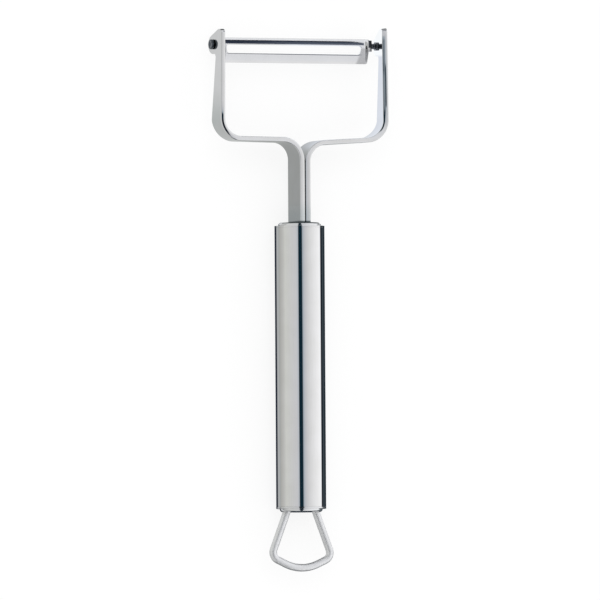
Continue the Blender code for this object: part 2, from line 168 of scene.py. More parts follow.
def linear(*levels):
    """The linear colour of a tone that a screen shows with these levels, from 0 to 255."""
    return tuple((level / 255) ** 2.2 for level in levels)


# %% [markdown]
# Everything in a scene is an object that carries data, such as a mesh, a curve or a lamp. Four helpers
# save repeating how Blender makes these. A bmesh is where a mesh is built point by point, and its
# result has to be written into a mesh before it is freed. A modifier's settings are plain attributes.

# %% Objects, meshes, materials and modifiers
def new_object(name, data):
    thing = bpy.data.objects.new(name, data)
    bpy.context.scene.collection.objects.link(thing)
    return thing


def mesh_from(work, name):
    """The mesh that was built in a bmesh, which is freed here."""
    mesh = bpy.data.meshes.new(name)
    work.to_mesh(mesh)
    work.free()
    return mesh


def bare_material(name):
    """A material without nodes, and the graph that fills it."""
    material = bpy.data.materials.new(name)
    material.use_nodes = True
    material.node_tree.nodes.clear()
    return material, Graph(material.node_tree)


def add_modifier(thing, kind, **settings):
    modifier = thing.modifiers.new(kind.lower(), kind)
    for name, value in settings.items():
        setattr(modifier, name, value)
    return modifier


# %% [markdown]
# Polished steel has no colour of its own: what a picture of it shows is the room. A photographer puts
# the peeler in a white tent, which has an open front where the camera looks in and gaps at its lower
# edges. The round handle mirrors that room as stripes along its whole length. The world here is such a
# tent, but only for mirrored rays. It is painted by direction: `around` is the angle about the handle's
# axis, from straight up to the left, and the height of the ray says how far it leans to the head.

# %% Stripes for level rays
STEEL_TONE = 0.72
LEVEL_STRIPES = [
    (-160, (66, 74, 84)),
    (-132, (42, 48, 56)),
    (-118, (42, 50, 54)),
    (-106, (66, 74, 80)),
    (-97, (18, 26, 34)),
    (-90, (24, 30, 40)),
    (-84, (244, 245, 247)),
    (-71, (240, 240, 240)),
    (-45, (228, 228, 228)),
    (-25, (215, 215, 215)),
    (-8, (199, 199, 200)),
    (3, (184, 186, 190)),
    (10, (156, 166, 174)),
    (13, (24, 42, 52)),
    (28, (20, 40, 50)),
    (31, (178, 184, 190)),
    (40, (196, 196, 198)),
    (95, (200, 201, 196)),
    (107, (186, 186, 183)),
    (127, (170, 170, 166)),
    (136, (159, 162, 161)),
    (145, (172, 174, 174)),
    (151, (168, 170, 172)),
    (157.5, (150, 152, 151)),
    (159.5, (120, 122, 124)),
    (162, (32, 36, 48)),
    (180, (36, 40, 50)),
]

# %% Stripes for rays that lean to the loop
LOW_STRIPES = [
    (-180, (42, 46, 50)),
    (-150, (42, 46, 50)),
    (-142, (84, 90, 96)),
    (-118, (92, 98, 102)),
    (-108, (99, 103, 105)),
    (-99, (125, 129, 131)),
    (-91, (218, 220, 221)),
    (-86, (236, 237, 239)),
    (-45, (226, 227, 229)),
    (-14, (210, 211, 213)),
    (6, (188, 189, 192)),
    (11, (36, 42, 48)),
    (30, (32, 38, 42)),
    (35, (188, 189, 190)),
    (95, (196, 197, 196)),
    (129, (172, 174, 173)),
    (139, (122, 124, 126)),
    (148, (186, 187, 188)),
    (158, (214, 215, 217)),
    (166, (196, 198, 200)),
    (173, (60, 64, 68)),
    (180, (42, 46, 50)),
]

# %% Stripes for rays that lean to the head
HEAD_STRIPES = [
    (-180, (172, 175, 177)),
    (-162, (176, 179, 181)),
    (-148, (214, 215, 218)),
    (-116, (230, 231, 234)),
    (-86, (236, 237, 239)),
    (-45, (228, 229, 231)),
    (-25, (215, 216, 219)),
    (9, (202, 204, 207)),
    (13, (24, 42, 52)),
    (28, (20, 40, 50)),
    (32, (200, 202, 202)),
    (95, (206, 207, 205)),
    (146, (190, 191, 190)),
    (158, (212, 213, 214)),
    (168, (198, 200, 201)),
    (180, (172, 175, 177)),
]

# %% From screen levels to light
def lit(levels):
    """The light that steel of this tone turns into these screen levels."""
    return tuple(value / STEEL_TONE for value in linear(*levels))


def mirrored(*levels):
    """The colour of something in the room that the steel shows with these screen levels."""
    return (*lit(levels), 1)


def stripes_around(graph, around, stripes):
    stops = [((degrees + 180) / 360, lit(levels)) for degrees, levels in stripes]
    return graph.add("ShaderNodeValToRGB", {"stops": stops}, {0: (around + 180) / 360})


print("stripes:", len(LEVEL_STRIPES), "level,", len(LOW_STRIPES), "low,", len(HEAD_STRIPES), "at the head")

# %% [markdown]
# One set of stripes takes over from the next as the ray leans more to the head or to the loop, and a
# dark gap lies low on the right past the head. Each pair of numbers says where such a change starts and
# where it is done. The tent's front gap needs one more step. The caps' rounded shoulders would mirror it
# as a bow, and the real ones show it as a line straight down to the rim, so the gap is placed by the way
# that the steel faces. That way lies half way between the mirrored ray and `LENS_WAY`, which points
# across the handle to the photographer.

# %% Paint the tent
LENS_WAY = (-0.39, 0.92)
GAP_START = (17.8, 18.8)
GAP_END = (25.2, 26.2)
GAP_LEAN = (0.30, 0.55)
BEHIND_START = (86, 98)
BEHIND_LEAN = (0.50, 0.66)
HEAD_LEAN = (0.11, 0.19)
LOW_LEAN = (-0.03, 0.07)
LOWEST_LEAN = (0.62, 0.75)


def gap_over_shoulder(graph, x, y, z):
    """The tent's front gap as a shoulder of the handle mirrors it, straight down to the rim."""
    facing = graph.calculate("ARCTAN2", -(x + LENS_WAY[0]), z + LENS_WAY[1]) * (180 / math.pi)
    gap = facing.between(*GAP_START) * (1 - facing.between(*GAP_END))
    return gap * (-y).between(*GAP_LEAN)


def paint_tent(graph):
    direction = graph.add("ShaderNodeTexCoord", output="Generated")
    x, y, z = graph.split(direction)
    around = graph.calculate("ARCTAN2", -x, z) * (180 / math.pi)
    level = stripes_around(graph, around, LEVEL_STRIPES)
    low = stripes_around(graph, around, LOW_STRIPES)
    head = stripes_around(graph, around, HEAD_STRIPES)
    behind = (-around).between(*BEHIND_START) * y.between(*BEHIND_LEAN)
    head = graph.blend(behind, head, mirrored(30, 36, 44))
    below = graph.blend((-y).between(*LOWEST_LEAN), low, level)
    lower_part = graph.blend((-y).between(*LOW_LEAN), level, below)
    lower_part = graph.blend(gap_over_shoulder(graph, x, y, z), lower_part, mirrored(34, 44, 52))
    return graph.blend(y.between(*HEAD_LEAN), lower_part, head)


# %% [markdown]
# The same world is plain white to the camera and to the light that falls on the floor, so the picture
# gets a clean pale ground and the stripes stay where they belong, in the mirror of the steel.

# %% Build the world
world = bpy.data.worlds.new("white_tent")
bpy.context.scene.world = world
world.use_nodes = True
world.node_tree.nodes.clear()
tent = Graph(world.node_tree)
glossy_ray = tent.add("ShaderNodeLightPath", output="Is Glossy Ray")
seen = tent.blend(glossy_ray, (1.0, 1.0, 1.0, 1.0), paint_tent(tent))
sky = tent.add("ShaderNodeBackground", sockets={"Color": seen, "Strength": 1.0})
tent.node("ShaderNodeOutputWorld", sockets={"Surface": sky})
print("world nodes:", len(world.node_tree.nodes))

# %% [markdown]
# The floor is a wide pale sheet under the peeler. It glows a little towards the camera, which makes it
# white in the picture while the soft shadow of the peeler still shows on it.

# %% The floor
FLOOR_GLOW = 0.8
FLOOR_COLOUR = (0.93, 0.93, 0.93, 1)
FLOOR_SIZE = 4.0
FLOOR_DROP = 0.0002


def floor_material():
    material, graph = bare_material("pale_floor")
    glow_share = graph.add("ShaderNodeLightPath", output="Is Camera Ray") * FLOOR_GLOW
    paper = graph.add("ShaderNodeBsdfDiffuse", sockets={"Color": FLOOR_COLOUR})
    glow = graph.add("ShaderNodeEmission", sockets={"Color": (1, 1, 1, 1), "Strength": 1.0})
    mixed = graph.add("ShaderNodeMixShader", sockets={0: glow_share, 1: paper, 2: glow})
    graph.node("ShaderNodeOutputMaterial", sockets={"Surface": mixed})
    return material


work = bmesh.new()
bmesh.ops.create_grid(work, x_segments=1, y_segments=1, size=FLOOR_SIZE)
floor_mesh = mesh_from(work, "floor")
floor_mesh.transform(Matrix.Translation((0, 0, -FLOOR_DROP)))
floor_mesh.materials.append(floor_material())
floor = new_object("floor", floor_mesh)
floor.visible_glossy = False
print("floor:", FLOOR_DROP, "m under the peeler")

# %% [markdown]
# Two cards stand near the head, and only the steel can see them. A pale one lies under the fork, as a
# photographer slips one in to lift the inner face of a far arm. It gets darker towards the handle, and
# is cooler on its right. A dark one hangs just beyond the head, and draws the long dark line along the
# arched blade. Its right end is cut at a slant. It is darkest along its far edge, and its near edge
# gets lighter to the right, so that the line fades there.

# %% Cards for the steel
def card_material(name, tone_at):
    """A glowing card. `tone_at` makes its tone from the place on it."""
    material, graph = bare_material(name)
    place = graph.split(graph.add("ShaderNodeTexCoord", output="Object"))
    glow = graph.add("ShaderNodeEmission", sockets={"Color": tone_at(graph, *place), "Strength": 1.0})
    graph.node("ShaderNodeOutputMaterial", sockets={"Surface": glow})
    return material


def hang_card(name, corners, tone_at):
    mesh = bpy.data.meshes.new(name)
    mesh.from_pydata(corners, [], [range(len(corners))])
    mesh.materials.append(card_material(name, tone_at))
    card = new_object(name, mesh)
    for ray in ("camera", "diffuse", "transmission", "shadow"):
        setattr(card, "visible_" + ray, False)
    print(name, [tuple(round(value, 4) for value in corner) for corner in corners])


# %% The pale card under the fork
PALE_HALF_WIDTH = 0.07
PALE_NEAR = 0.034
PALE_FAR = 0.112
PALE_DROP = 0.0001
PALE_RIGHT_STEP = (0.0878, 0.0892)
PALE_LEFT_STEP = (0.0640, 0.0780)
PALE_MIDDLE = (-0.004, 0.004)
PALE_NECK_HALF = 0.004
PALE_NECK_END = (0.008, 0.020)
PALE_HEAD_START = (0.052, 0.068)


def pale_corners():
    places = [(-1, PALE_NEAR), (1, PALE_NEAR), (1, PALE_FAR), (-1, PALE_FAR)]
    return [(side * PALE_HALF_WIDTH, y, -PALE_DROP) for side, y in places]


def pale_tone(graph, x, y, z):
    right = graph.blend(y.between(*PALE_RIGHT_STEP), mirrored(213, 218, 227), mirrored(243, 246, 248))
    left = graph.blend(y.between(*PALE_LEFT_STEP), mirrored(174, 178, 177), mirrored(197, 198, 198))
    side = graph.blend(x.between(*PALE_MIDDLE), left, right)
    out_from_neck = (x.math("ABSOLUTE") - PALE_NECK_HALF).between(*PALE_NECK_END)
    near = graph.blend(out_from_neck, mirrored(147, 149, 148), mirrored(174, 176, 175))
    return graph.blend(y.between(*PALE_HEAD_START), near, side)


hang_card("pale_card_under_fork", pale_corners(), pale_tone)

# %% The dark card past the head
FLAG_HEIGHT = 0.046
FLAG_REACH = (0.69, 1.43)
FLAG_ASIDE = (0.53, 0.68)
FLAG_LEFT_SPARE = 0.010
FLAG_RIGHT_SHORT = 0.001
FLAG_SLANT = 0.005
FLAG_FADE = (0.0, 0.030)
RIDGE_BACK = 0.0015
RIDGE_DROP = 0.0005


def flag_corners():
    """The dark card's corners, from where its mirror image has to lie on the blade."""
    low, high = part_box("blade")
    rise = high.z - RIDGE_DROP + FLAG_HEIGHT
    near, far = (high.y - RIDGE_BACK + FLAG_HEIGHT * reach for reach in FLAG_REACH)
    left = low.x + FLAG_HEIGHT * FLAG_ASIDE[0] - FLAG_LEFT_SPARE
    near_right, far_right = (high.x - FLAG_RIGHT_SHORT + FLAG_HEIGHT * aside for aside in FLAG_ASIDE)
    return [
        (left, near, rise),
        (near_right, near, rise),
        (far_right - FLAG_SLANT, far, rise),
        (left, far, rise),
    ]


def flag_tone(graph, x, y, z):
    near, far = flag_corners()[0][1], flag_corners()[2][1]
    near_tone = graph.blend(x.between(*FLAG_FADE), mirrored(52, 58, 70), mirrored(86, 93, 106))
    return graph.blend(y.between(near, far), near_tone, mirrored(27, 33, 46))


hang_card("dark_card_past_head", flag_corners(), flag_tone)

# %% [markdown]
# One wide soft lamp above the head gives the floor its light and a faint direction to the shadow. The
# steel doesn't mirror it, because the tent already holds everything that the steel shows.

# %% The lamp
LAMP_PLACE = (-0.5, 0.6, 1.5)

lamp_data = bpy.data.lights.new("soft_lamp", "AREA")
lamp_data.shape = "DISK"
lamp_data.size = 1.6
lamp_data.energy = 6.0
lamp = new_object("soft_lamp", lamp_data)
lamp.location = LAMP_PLACE
lamp.rotation_euler = (Vector((0, 0, 0)) - lamp.location).to_track_quat("-Z", "Y").to_euler()
lamp.visible_glossy = False
print("lamp:", lamp_data.size, "m wide,", lamp_data.energy, "W")

# %% [markdown]
# The photograph looks at the front from 23 degrees to the left and two degrees below the head's level,
# through a lens so long that nothing converges. The camera stands eight metres away with a matching
# lens. One point of the peeler, the middle of the handle's top, fixes the framing.

# %% The camera
IMAGE_SIZE = 600
METRES_PER_PIXEL = 0.00036
SENSOR_WIDTH = 36.0
CAMERA_DISTANCE = 8.0
CAMERA_LEFT = math.radians(23.0)
CAMERA_BELOW = math.radians(2.0)
CAMERA_ROLL = math.radians(0.37)
AIM_PIXEL = (299.4, 222.7)


def place_camera():
    level = math.cos(CAMERA_BELOW)
    aside, ahead = -math.sin(CAMERA_LEFT) * level, math.cos(CAMERA_LEFT) * level
    back = Vector((aside, -math.sin(CAMERA_BELOW), ahead))
    up = (Vector((0, 1, 0)) - back * back.y).normalized()
    up = Matrix.Rotation(-CAMERA_ROLL, 3, back) @ up
    right = up.cross(back)
    aim = Vector((0, HANDLE_TOP, AXIS_Z))
    from_middle = (AIM_PIXEL[0] - IMAGE_SIZE / 2) * METRES_PER_PIXEL
    above = (IMAGE_SIZE / 2 - AIM_PIXEL[1]) * METRES_PER_PIXEL
    data = bpy.data.cameras.new("camera")
    data.sensor_width = SENSOR_WIDTH
    data.lens = SENSOR_WIDTH * CAMERA_DISTANCE / (IMAGE_SIZE * METRES_PER_PIXEL)
    data.clip_start = 0.1
    data.clip_end = 40.0
    camera = new_object("camera", data)
    turn = Matrix((right, up, back)).transposed().to_4x4()
    place = aim + back * CAMERA_DISTANCE - right * from_middle - up * above
    camera.matrix_world = Matrix.Translation(place) @ turn
    bpy.context.scene.camera = camera
    return camera


camera = place_camera()
bpy.context.scene.view_settings.view_transform = "Standard"
print("lens", round(camera.data.lens), "mm")

# %% [markdown]
# All of the peeler is steel, in several finishes. The strips and the handle are polished to a mirror,
# and under a low light they still show the last fine lines of the polishing wheel and slow waves in
# the shine. The blade is ground, then polished over its arch only, so its two ends stay grey and matt.
# The loop is satin. The pins are turned and dark. Each finish is one recipe with other numbers: lines
# that follow the work, broad smudges, and a very shallow bump from the same lines.

# %% Lines and smudges
SMUDGE_SCALE = 160.0


def steel_lines(graph, coordinates, stretch):
    """Fine streaks: a noise that is squeezed across the work and long along it."""
    stretched = graph.add("ShaderNodeMapping", sockets={"Vector": coordinates, "Scale": stretch})
    return graph.add(
        "ShaderNodeTexNoise",
        {"noise_dimensions": "3D"},
        {"Vector": stretched, "Scale": 1.0, "Detail": 3.0, "Roughness": 0.6},
    )


def smudges(graph, coordinates):
    """Slow, soft changes of shine."""
    return graph.add(
        "ShaderNodeTexNoise",
        {"noise_dimensions": "3D"},
        {"Vector": coordinates, "Scale": SMUDGE_SCALE, "Detail": 2.0, "Roughness": 0.5},
    )


# %% Where the lines run
def in_place(graph, place):
    """The lines of a turned or drawn piece follow the object itself."""
    return place


def along_strip(graph, place):
    """A strip's own flat coordinates, which its bends carry with them."""
    return graph.add("ShaderNodeUVMap", {"uv_map": "flat_blank"})


# %% One recipe for every steel
SMUDGE_SHOWS = (0.35, 0.75)
WEAR_SHOWS = (0.3, 0.7)
BUMP_STRENGTH = 0.25
LINES_IN_ZONE = 0.1


def steel(name, colour, worn_colour, roughness, line_depth, stretch, coordinates_of=in_place, zones=()):
    """A steel whose finish changes a little with its lines and smudges.

    `roughness` is (polished, added by the lines, added by the smudges). Each zone is a function that
    says how much of it is at a place, with its own roughness and colour.
    """
    material, graph = bare_material(name)
    place = graph.add("ShaderNodeTexCoord", output="Object")
    lines = steel_lines(graph, coordinates_of(graph, place), stretch)
    spots = smudges(graph, place)
    shine, from_lines, from_spots = roughness
    rough = shine + from_lines * lines + from_spots * spots.between(*SMUDGE_SHOWS)
    worn = (lines * 0.5 + spots * 0.5).between(*WEAR_SHOWS)
    tint = graph.blend(worn, (*colour, 1), (*worn_colour, 1))
    for share_of, zone_roughness, zone_colour in zones:
        share = share_of(*graph.split(place))
        rough = rough * (1 - share) + share * (zone_roughness + LINES_IN_ZONE * lines)
        tint = graph.blend(share, tint, (*zone_colour, 1))
    relief = {"Strength": BUMP_STRENGTH, "Distance": line_depth, "Height": lines}
    bump = graph.add("ShaderNodeBump", sockets=relief)
    look = {"Base Color": tint, "Metallic": 1.0, "Roughness": rough, "Normal": bump}
    shader = graph.add("ShaderNodeBsdfPrincipled", sockets=look)
    graph.node("ShaderNodeOutputMaterial", sockets={"Surface": shader})
    return material


# %% [markdown]
# A zone changes the steel at one place only. The neck's foot and the cap's rim in front of it are
# painted dark, and the neck above a little darker: this is painted shade where the neck meets the
# handle. The upper ends of the arms' front edges are painted dark. The blade has a ground web past the
# slot's right end, and its lug is painted dark as the shade between the blade and the ear. Each pair
# gives the two places between which a zone comes in or goes out, in metres on the object. Heights on
# the neck and on the rim count from the handle's top, and those of the tips from the tip.

# %% Where the zones are
WEB_START = (0.0217, 0.0229)
WEB_SLANT = -0.33
WEB_LEVEL = 0.0873
WEB_RIDGE = (0.0903, 0.0911)
LUG_START = (0.0264, 0.0268)
LUG_LEVEL = (0.0907, 0.0911)
FOOT_END = (0.0001, 0.0008)
NECK_SHADE_END = (0.0020, 0.0090)
RIM_START = (-0.0006, -0.0003)
RIM_MIDDLE = -0.0002
RIM_SIDE_END = (0.0054, 0.0068)
TIP_START = (-0.0007, -0.0003)
TIP_FRONT = (0.0045, 0.0052)
ARMS_PARTING = (-0.001, 0.001)

# %% The zones
def ground_web(x, y, z):
    """The blade past the slot's right end, up to the polished ridge of the arch."""
    past_slot = (x + (y - WEB_LEVEL) * WEB_SLANT).between(*WEB_START)
    return past_slot * (1 - y.between(*WEB_RIDGE))


def lug_painted_shade(x, y, z):
    """The blade's lug at the right end, painted dark as the shade between the blade and the ear."""
    return x.between(*LUG_START) * y.between(*LUG_LEVEL)


def above_handle(y, ends):
    return y.between(*(HANDLE_TOP + end for end in ends))


def neck_foot_painted_shade(x, y, z):
    """The neck's foot, painted dark as the shade where it meets the handle's cap."""
    return 1 - above_handle(y, FOOT_END)


def neck_painted_shade(x, y, z):
    """The neck above its foot, painted a little darker as shade near the handle."""
    return 1 - above_handle(y, NECK_SHADE_END)


def rim_painted_shade(x, y, z):
    """The cap's upper rim in front of the neck, painted dark as the shade at the neck's foot."""
    beside_neck = (x - RIM_MIDDLE).math("ABSOLUTE").between(*RIM_SIDE_END)
    return above_handle(y, RIM_START) * (1 - beside_neck)


def darkened_tips(x, y, z):
    """The upper ends of the arms' front edges, painted dark."""
    left_tip, right_tip = (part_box("fork_strip_" + side)[1].y for side in ("left", "right"))
    above = y - left_tip - (right_tip - left_tip) * x.between(*ARMS_PARTING)
    return above.between(*TIP_START) * z.between(*(AXIS_Z + front for front in TIP_FRONT))


# %% The handle's and the strips' finish
POLISHED = (0.72, 0.72, 0.73)
POLISHED_WORN = (0.68, 0.68, 0.68)

handle_steel = steel(
    "handle_polished_steel",
    POLISHED,
    POLISHED_WORN,
    roughness=(0.015, 0.015, 0.020),
    line_depth=2e-7,
    stretch=(5000.0, 90.0, 5000.0),
    # the cap's rim in front of the neck is painted dark, as shade at the neck's foot
    zones=[(rim_painted_shade, 0.25, (0.050, 0.065, 0.070))],
)
strip_steel = steel(
    "strip_polished_steel",
    POLISHED,
    POLISHED_WORN,
    roughness=(0.030, 0.030, 0.030),
    line_depth=3e-7,
    stretch=(110.0, 5200.0, 1.0),
    coordinates_of=along_strip,
    zones=[
        # the neck above its foot is painted a little darker, as shade near the handle
        (neck_painted_shade, 0.05, (0.60, 0.63, 0.64)),
        # the neck's foot is painted dark, as shade where it meets the cap
        (neck_foot_painted_shade, 0.25, (0.050, 0.070, 0.075)),
        # the upper ends of the arms' front edges are painted dark
        (darkened_tips, 0.30, (0.060, 0.062, 0.066)),
    ],
)

# %% The loop's, the blade's and the pins' finish
loop_steel = steel(
    "loop_polished_steel",
    (0.79, 0.79, 0.80),
    (0.76, 0.76, 0.76),
    roughness=(0.450, 0.040, 0.060),
    line_depth=2e-7,
    stretch=(900.0, 900.0, 900.0),
)
blade_steel = steel(
    "blade_ground_steel",
    POLISHED,
    (0.68, 0.68, 0.69),
    roughness=(0.045, 0.030, 0.030),
    line_depth=3e-7,
    stretch=(5200.0, 120.0, 5200.0),
    # the ground web is a matt grey finish; the lug is painted dark as shade between the blade and the ear
    zones=[(ground_web, 0.34, (0.50, 0.50, 0.51)), (lug_painted_shade, 0.30, (0.050, 0.055, 0.065))],
)
pin_steel = steel(
    "pin_turned_steel",
    (0.15, 0.16, 0.18),
    (0.05, 0.06, 0.07),
    roughness=(0.10, 0.10, 0.10),
    line_depth=4e-7,
    stretch=(9000.0, 1500.0, 1500.0),
)
finishes = (handle_steel, strip_steel, loop_steel, blade_steel, pin_steel)
print("finishes:", [material.name for material in finishes])

# %% [markdown]
# Most of the work of modelling the peeler is bending and turning. The helpers below hold what those
# have in common: round the corners of an outline, turn a profile, lay the result along the handle, and
# bake an object with modifiers into a plain mesh whose place is in its points.

# %% How far an arc reaches
MOST_OF_RUN = 0.98


def half_corner_angle(before, here, after):
    return (before - here).angle(after - here) / 2


def arc_reaches(places, radii):
    """How far each corner's arc reaches along its two runs, made smaller where a run is too short."""
    count = len(places)
    reaches = []
    for index, radius in enumerate(radii):
        around = (places[index - 1], places[index], places[(index + 1) % count])
        reaches.append(radius / math.tan(half_corner_angle(*around)) if radius > 0 else 0.0)
    shares = []
    for index in range(count):
        following = (index + 1) % count
        room = (places[following] - places[index]).length * MOST_OF_RUN
        wanted = reaches[index] + reaches[following]
        shares.append(room / wanted if wanted > room else 1.0)
    return [reach * min(shares[index - 1], shares[index]) for index, reach in enumerate(reaches)]


# %% Rounded outlines
ARC_STEP = math.radians(3.0)
CIRCLE_STEPS = 72


def rounded_outline(corners, closed=True):
    """Points along straight runs whose corners, (x, y, radius), are rounded with arcs."""
    count = len(corners)
    places = [Vector((x, y)) for x, y, radius in corners]
    radii = [radius for x, y, radius in corners]
    if not closed:
        radii[0] = radii[-1] = 0.0
    points = []
    for index, reach in enumerate(arc_reaches(places, radii)):
        before, here, after = places[index - 1], places[index], places[(index + 1) % count]
        if reach == 0:
            points.append(here)
            continue
        half_angle = half_corner_angle(before, here, after)
        to_before = (before - here).normalized()
        to_after = (after - here).normalized()
        bisector = (to_before + to_after).normalized()
        centre = here + bisector * reach / math.cos(half_angle)
        start = here + to_before * reach - centre
        turn = math.pi - 2 * half_angle
        way = 1 if to_before.cross(to_after) < 0 else -1
        steps = max(2, math.ceil(turn / ARC_STEP))
        for step in range(steps + 1):
            points.append(centre + Matrix.Rotation(way * turn * step / steps, 2) @ start)
    return points


def circle(x, y, radius):
    angles = [2 * math.pi * step / CIRCLE_STEPS for step in range(CIRCLE_STEPS)]
    return [Vector((x + radius * math.cos(angle), y + radius * math.sin(angle))) for angle in angles]


# %% Plain meshes
TINY = 1e-6
MERGE_DISTANCE = 1e-7


def baked(thing, name):
    """A plain mesh object of a finished one, its place moved into its points."""
    bpy.context.view_layer.update()
    evaluated = thing.evaluated_get(bpy.context.evaluated_depsgraph_get())
    mesh = bpy.data.meshes.new_from_object(evaluated)
    mesh.transform(thing.matrix_world)
    mesh.name = name
    bpy.data.objects.remove(thing, do_unlink=True)
    return new_object(name, mesh)


def tidy(mesh):
    """Merges doubled points and turns every face outwards."""
    work = bmesh.new()
    work.from_mesh(mesh)
    bmesh.ops.remove_doubles(work, verts=work.verts, dist=MERGE_DISTANCE)
    bmesh.ops.recalc_face_normals(work, faces=work.faces)
    work.to_mesh(mesh)
    work.free()


# %% The piece in its solid's place
def smooth_over(thing, sharp_degrees):
    """Smooth shading that stops at sharp edges and that the big faces decide."""
    thing.data.shade_smooth()
    thing.data.set_sharp_from_angle(angle=math.radians(sharp_degrees))
    add_modifier(thing, "WEIGHTED_NORMAL", mode="FACE_AREA", weight=90, keep_sharp=True)
    return baked(thing, thing.name)


def standing_for(thing, node, body, sharp_degrees):
    """Smooths a fine piece and puts it in its solid's place, on the body that the solid moves with."""
    thing = smooth_over(thing, sharp_degrees)
    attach(thing, body)
    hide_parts(node)
    print(thing.name, "faces:", len(thing.data.polygons))


# %% [markdown]
# The handle is a hollow tube. A tube is a ring whose small section, a tall thin rectangle, runs round a
# circle. Geometry Nodes say just that: a circle for the path, a rounded rectangle for the section, and
# Curve to Mesh to carry one along the other. The radius, wall, length and rounding are named inputs.

# %% A tree with named inputs
INPUT_KINDS = {
    "size": "NodeSocketFloat",
    "count": "NodeSocketInt",
    "material": "NodeSocketMaterial",
    "object": "NodeSocketObject",
    "vector": "NodeSocketVector",
}


class ShapeTree(Graph):
    """A Geometry Nodes tree. Its inputs are named, and its result gets a material at the end."""

    def __init__(self, name, inputs):
        super().__init__(bpy.data.node_groups.new(name, "GeometryNodeTree"))
        face = self.tree.interface
        self.identifiers = {}
        for label, kind in {"Geometry": None, **inputs}.items():
            socket_type = INPUT_KINDS[kind] if kind else "NodeSocketGeometry"
            socket = face.new_socket(label, in_out="INPUT", socket_type=socket_type)
            self.identifiers[label] = socket.identifier
        face.new_socket("Geometry", in_out="OUTPUT", socket_type="NodeSocketGeometry")
        start = self.node("NodeGroupInput")
        self.given = {socket.name: Signal(self, socket) for socket in start.outputs if socket.name}

    def circle(self, sides, radius):
        sockets = {"Resolution": sides, "Radius": radius}
        return self.add("GeometryNodeCurvePrimitiveCircle", sockets=sockets)

    def fillet(self, line, steps, radius):
        """The same line with each corner rounded by an arc of so many steps."""
        sockets = {"Curve": line, "Count": steps, "Radius": radius, "Limit Radius": True}
        return self.add("GeometryNodeFilletCurve", {"mode": "POLY"}, sockets)

    def finish(self, geometry):
        smooth = self.add("GeometryNodeSetShadeSmooth", sockets={"Geometry": geometry})
        real = self.add("GeometryNodeRealizeInstances", sockets={"Geometry": smooth})
        paint = {"Geometry": real, "Material": self.given["Material"]}
        painted = self.add("GeometryNodeSetMaterial", sockets=paint)
        self.node("NodeGroupOutput", sockets={0: painted})

    def run(self, thing, name, values):
        """Runs the tree on an object with these inputs and returns the plain mesh object."""
        modifier = thing.modifiers.new("shape", "NODES")
        modifier.node_group = self.tree
        for label, value in values.items():
            modifier[self.identifiers[label]] = value
        return baked(thing, name)


# %% The tree of a turned ring
FILLET_STEPS = 4


def ring_tree():
    tree = ShapeTree(
        "turned_ring",
        {
            "Outer Radius": "size",
            "Wall": "size",
            "Length": "size",
            "Edge Round": "size",
            "Steps": "count",
            "Material": "material",
        },
    )
    given = tree.given
    path = tree.circle(given["Steps"], given["Outer Radius"] - given["Wall"] / 2)
    section = tree.add(
        "GeometryNodeCurvePrimitiveQuadrilateral",
        sockets={"Width": given["Wall"], "Height": given["Length"]},
    )
    rounded = tree.fillet(section, FILLET_STEPS, given["Edge Round"])
    ring = tree.add("GeometryNodeCurveToMesh", sockets={"Curve": path, "Profile Curve": rounded})
    laid = tree.add(
        "GeometryNodeTransform",
        sockets={"Geometry": ring, "Rotation": (-math.pi / 2, 0.0, 0.0)},
    )
    tree.finish(laid)
    return tree


# %% The handle's tube
TUBE_WALL = 0.0012
TUBE_EDGE_ROUND = 0.00005
TUBE_STEPS = 256
CAP_RIM = 0.0018
SEAM = 0.00003

tube = ring_tree().run(
    new_object("tube_start", bpy.data.meshes.new("tube_start")),
    "fine_handle_tube",
    {
        "Outer Radius": HANDLE_RADIUS,
        "Wall": TUBE_WALL,
        "Length": HANDLE_TOP - HANDLE_END - 2 * (CAP_RIM + SEAM),
        "Edge Round": TUBE_EDGE_ROUND,
        "Steps": TUBE_STEPS,
        "Material": handle_steel,
    },
)
tube.data.transform(Matrix.Translation((0, (HANDLE_TOP + HANDLE_END) / 2, AXIS_Z)))
tidy(tube.data)
ends = [point.co.y for point in tube.data.vertices]
print("tube from", min(ends), "to", max(ends))
standing_for(tube, "handle_tube", "handle", sharp_degrees=30)

# %% [markdown]
# The two caps are turned, like a drawer knob: a flat face on a narrower lip with a rounded shoulder, a
# rim as wide as the tube, and a spigot inside. A profile with a Screw modifier makes them. The top cap
# has a slot for the two strips, and the end cap has two slanting holes for the legs of the loop, which
# a Boolean cuts.

# %% Turned pieces
TURNED_STEPS = 192


def turned(name, profile, steps=TURNED_STEPS):
    """A turned piece about its own Z. The profile of (radius, height) runs down its outer side."""
    work = bmesh.new()
    points = [work.verts.new((radius, 0.0, height)) for radius, height in profile]
    for start, end in zip(points, points[1:]):
        work.edges.new((start, end))
    thing = new_object(name, mesh_from(work, name))
    screw = add_modifier(thing, "SCREW", axis="Z", steps=steps, render_steps=steps)
    screw.use_merge_vertices = True
    screw.merge_threshold = TINY
    return thing


def cut(thing, cutter):
    """Cuts one mesh out of another and removes the cutter."""
    add_modifier(thing, "BOOLEAN", operation="DIFFERENCE", solver="EXACT", object=cutter)
    result = baked(thing, thing.name)
    bpy.data.objects.remove(cutter, do_unlink=True)
    return result


def arc(centre_radius, centre_height, radius, start, end, steps):
    """Points of an arc in a profile. The angle 0 points up and 90 degrees points out."""
    points = []
    for step in range(steps + 1):
        angle = math.radians(start + (end - start) * step / steps)
        points.append((centre_radius + radius * math.sin(angle), centre_height + radius * math.cos(angle)))
    return points


# %% The caps' sizes
LIP_RADIUS = 0.0077
LIP_ROUND = 0.0010
LIP_HEIGHT = 0.00115
LIP_STEPS = 14
CAP_RIM_ROUND = 0.00015
CAP_RIM_STEPS = 4
SPIGOT_LENGTH = 0.0080
FIT_GAP = 0.0003
THROUGH_CAP = 0.04
STRIP_THICKNESS = 0.0017
NECK_SEAM = 0.0006
NECK_WIDTH = 0.0116

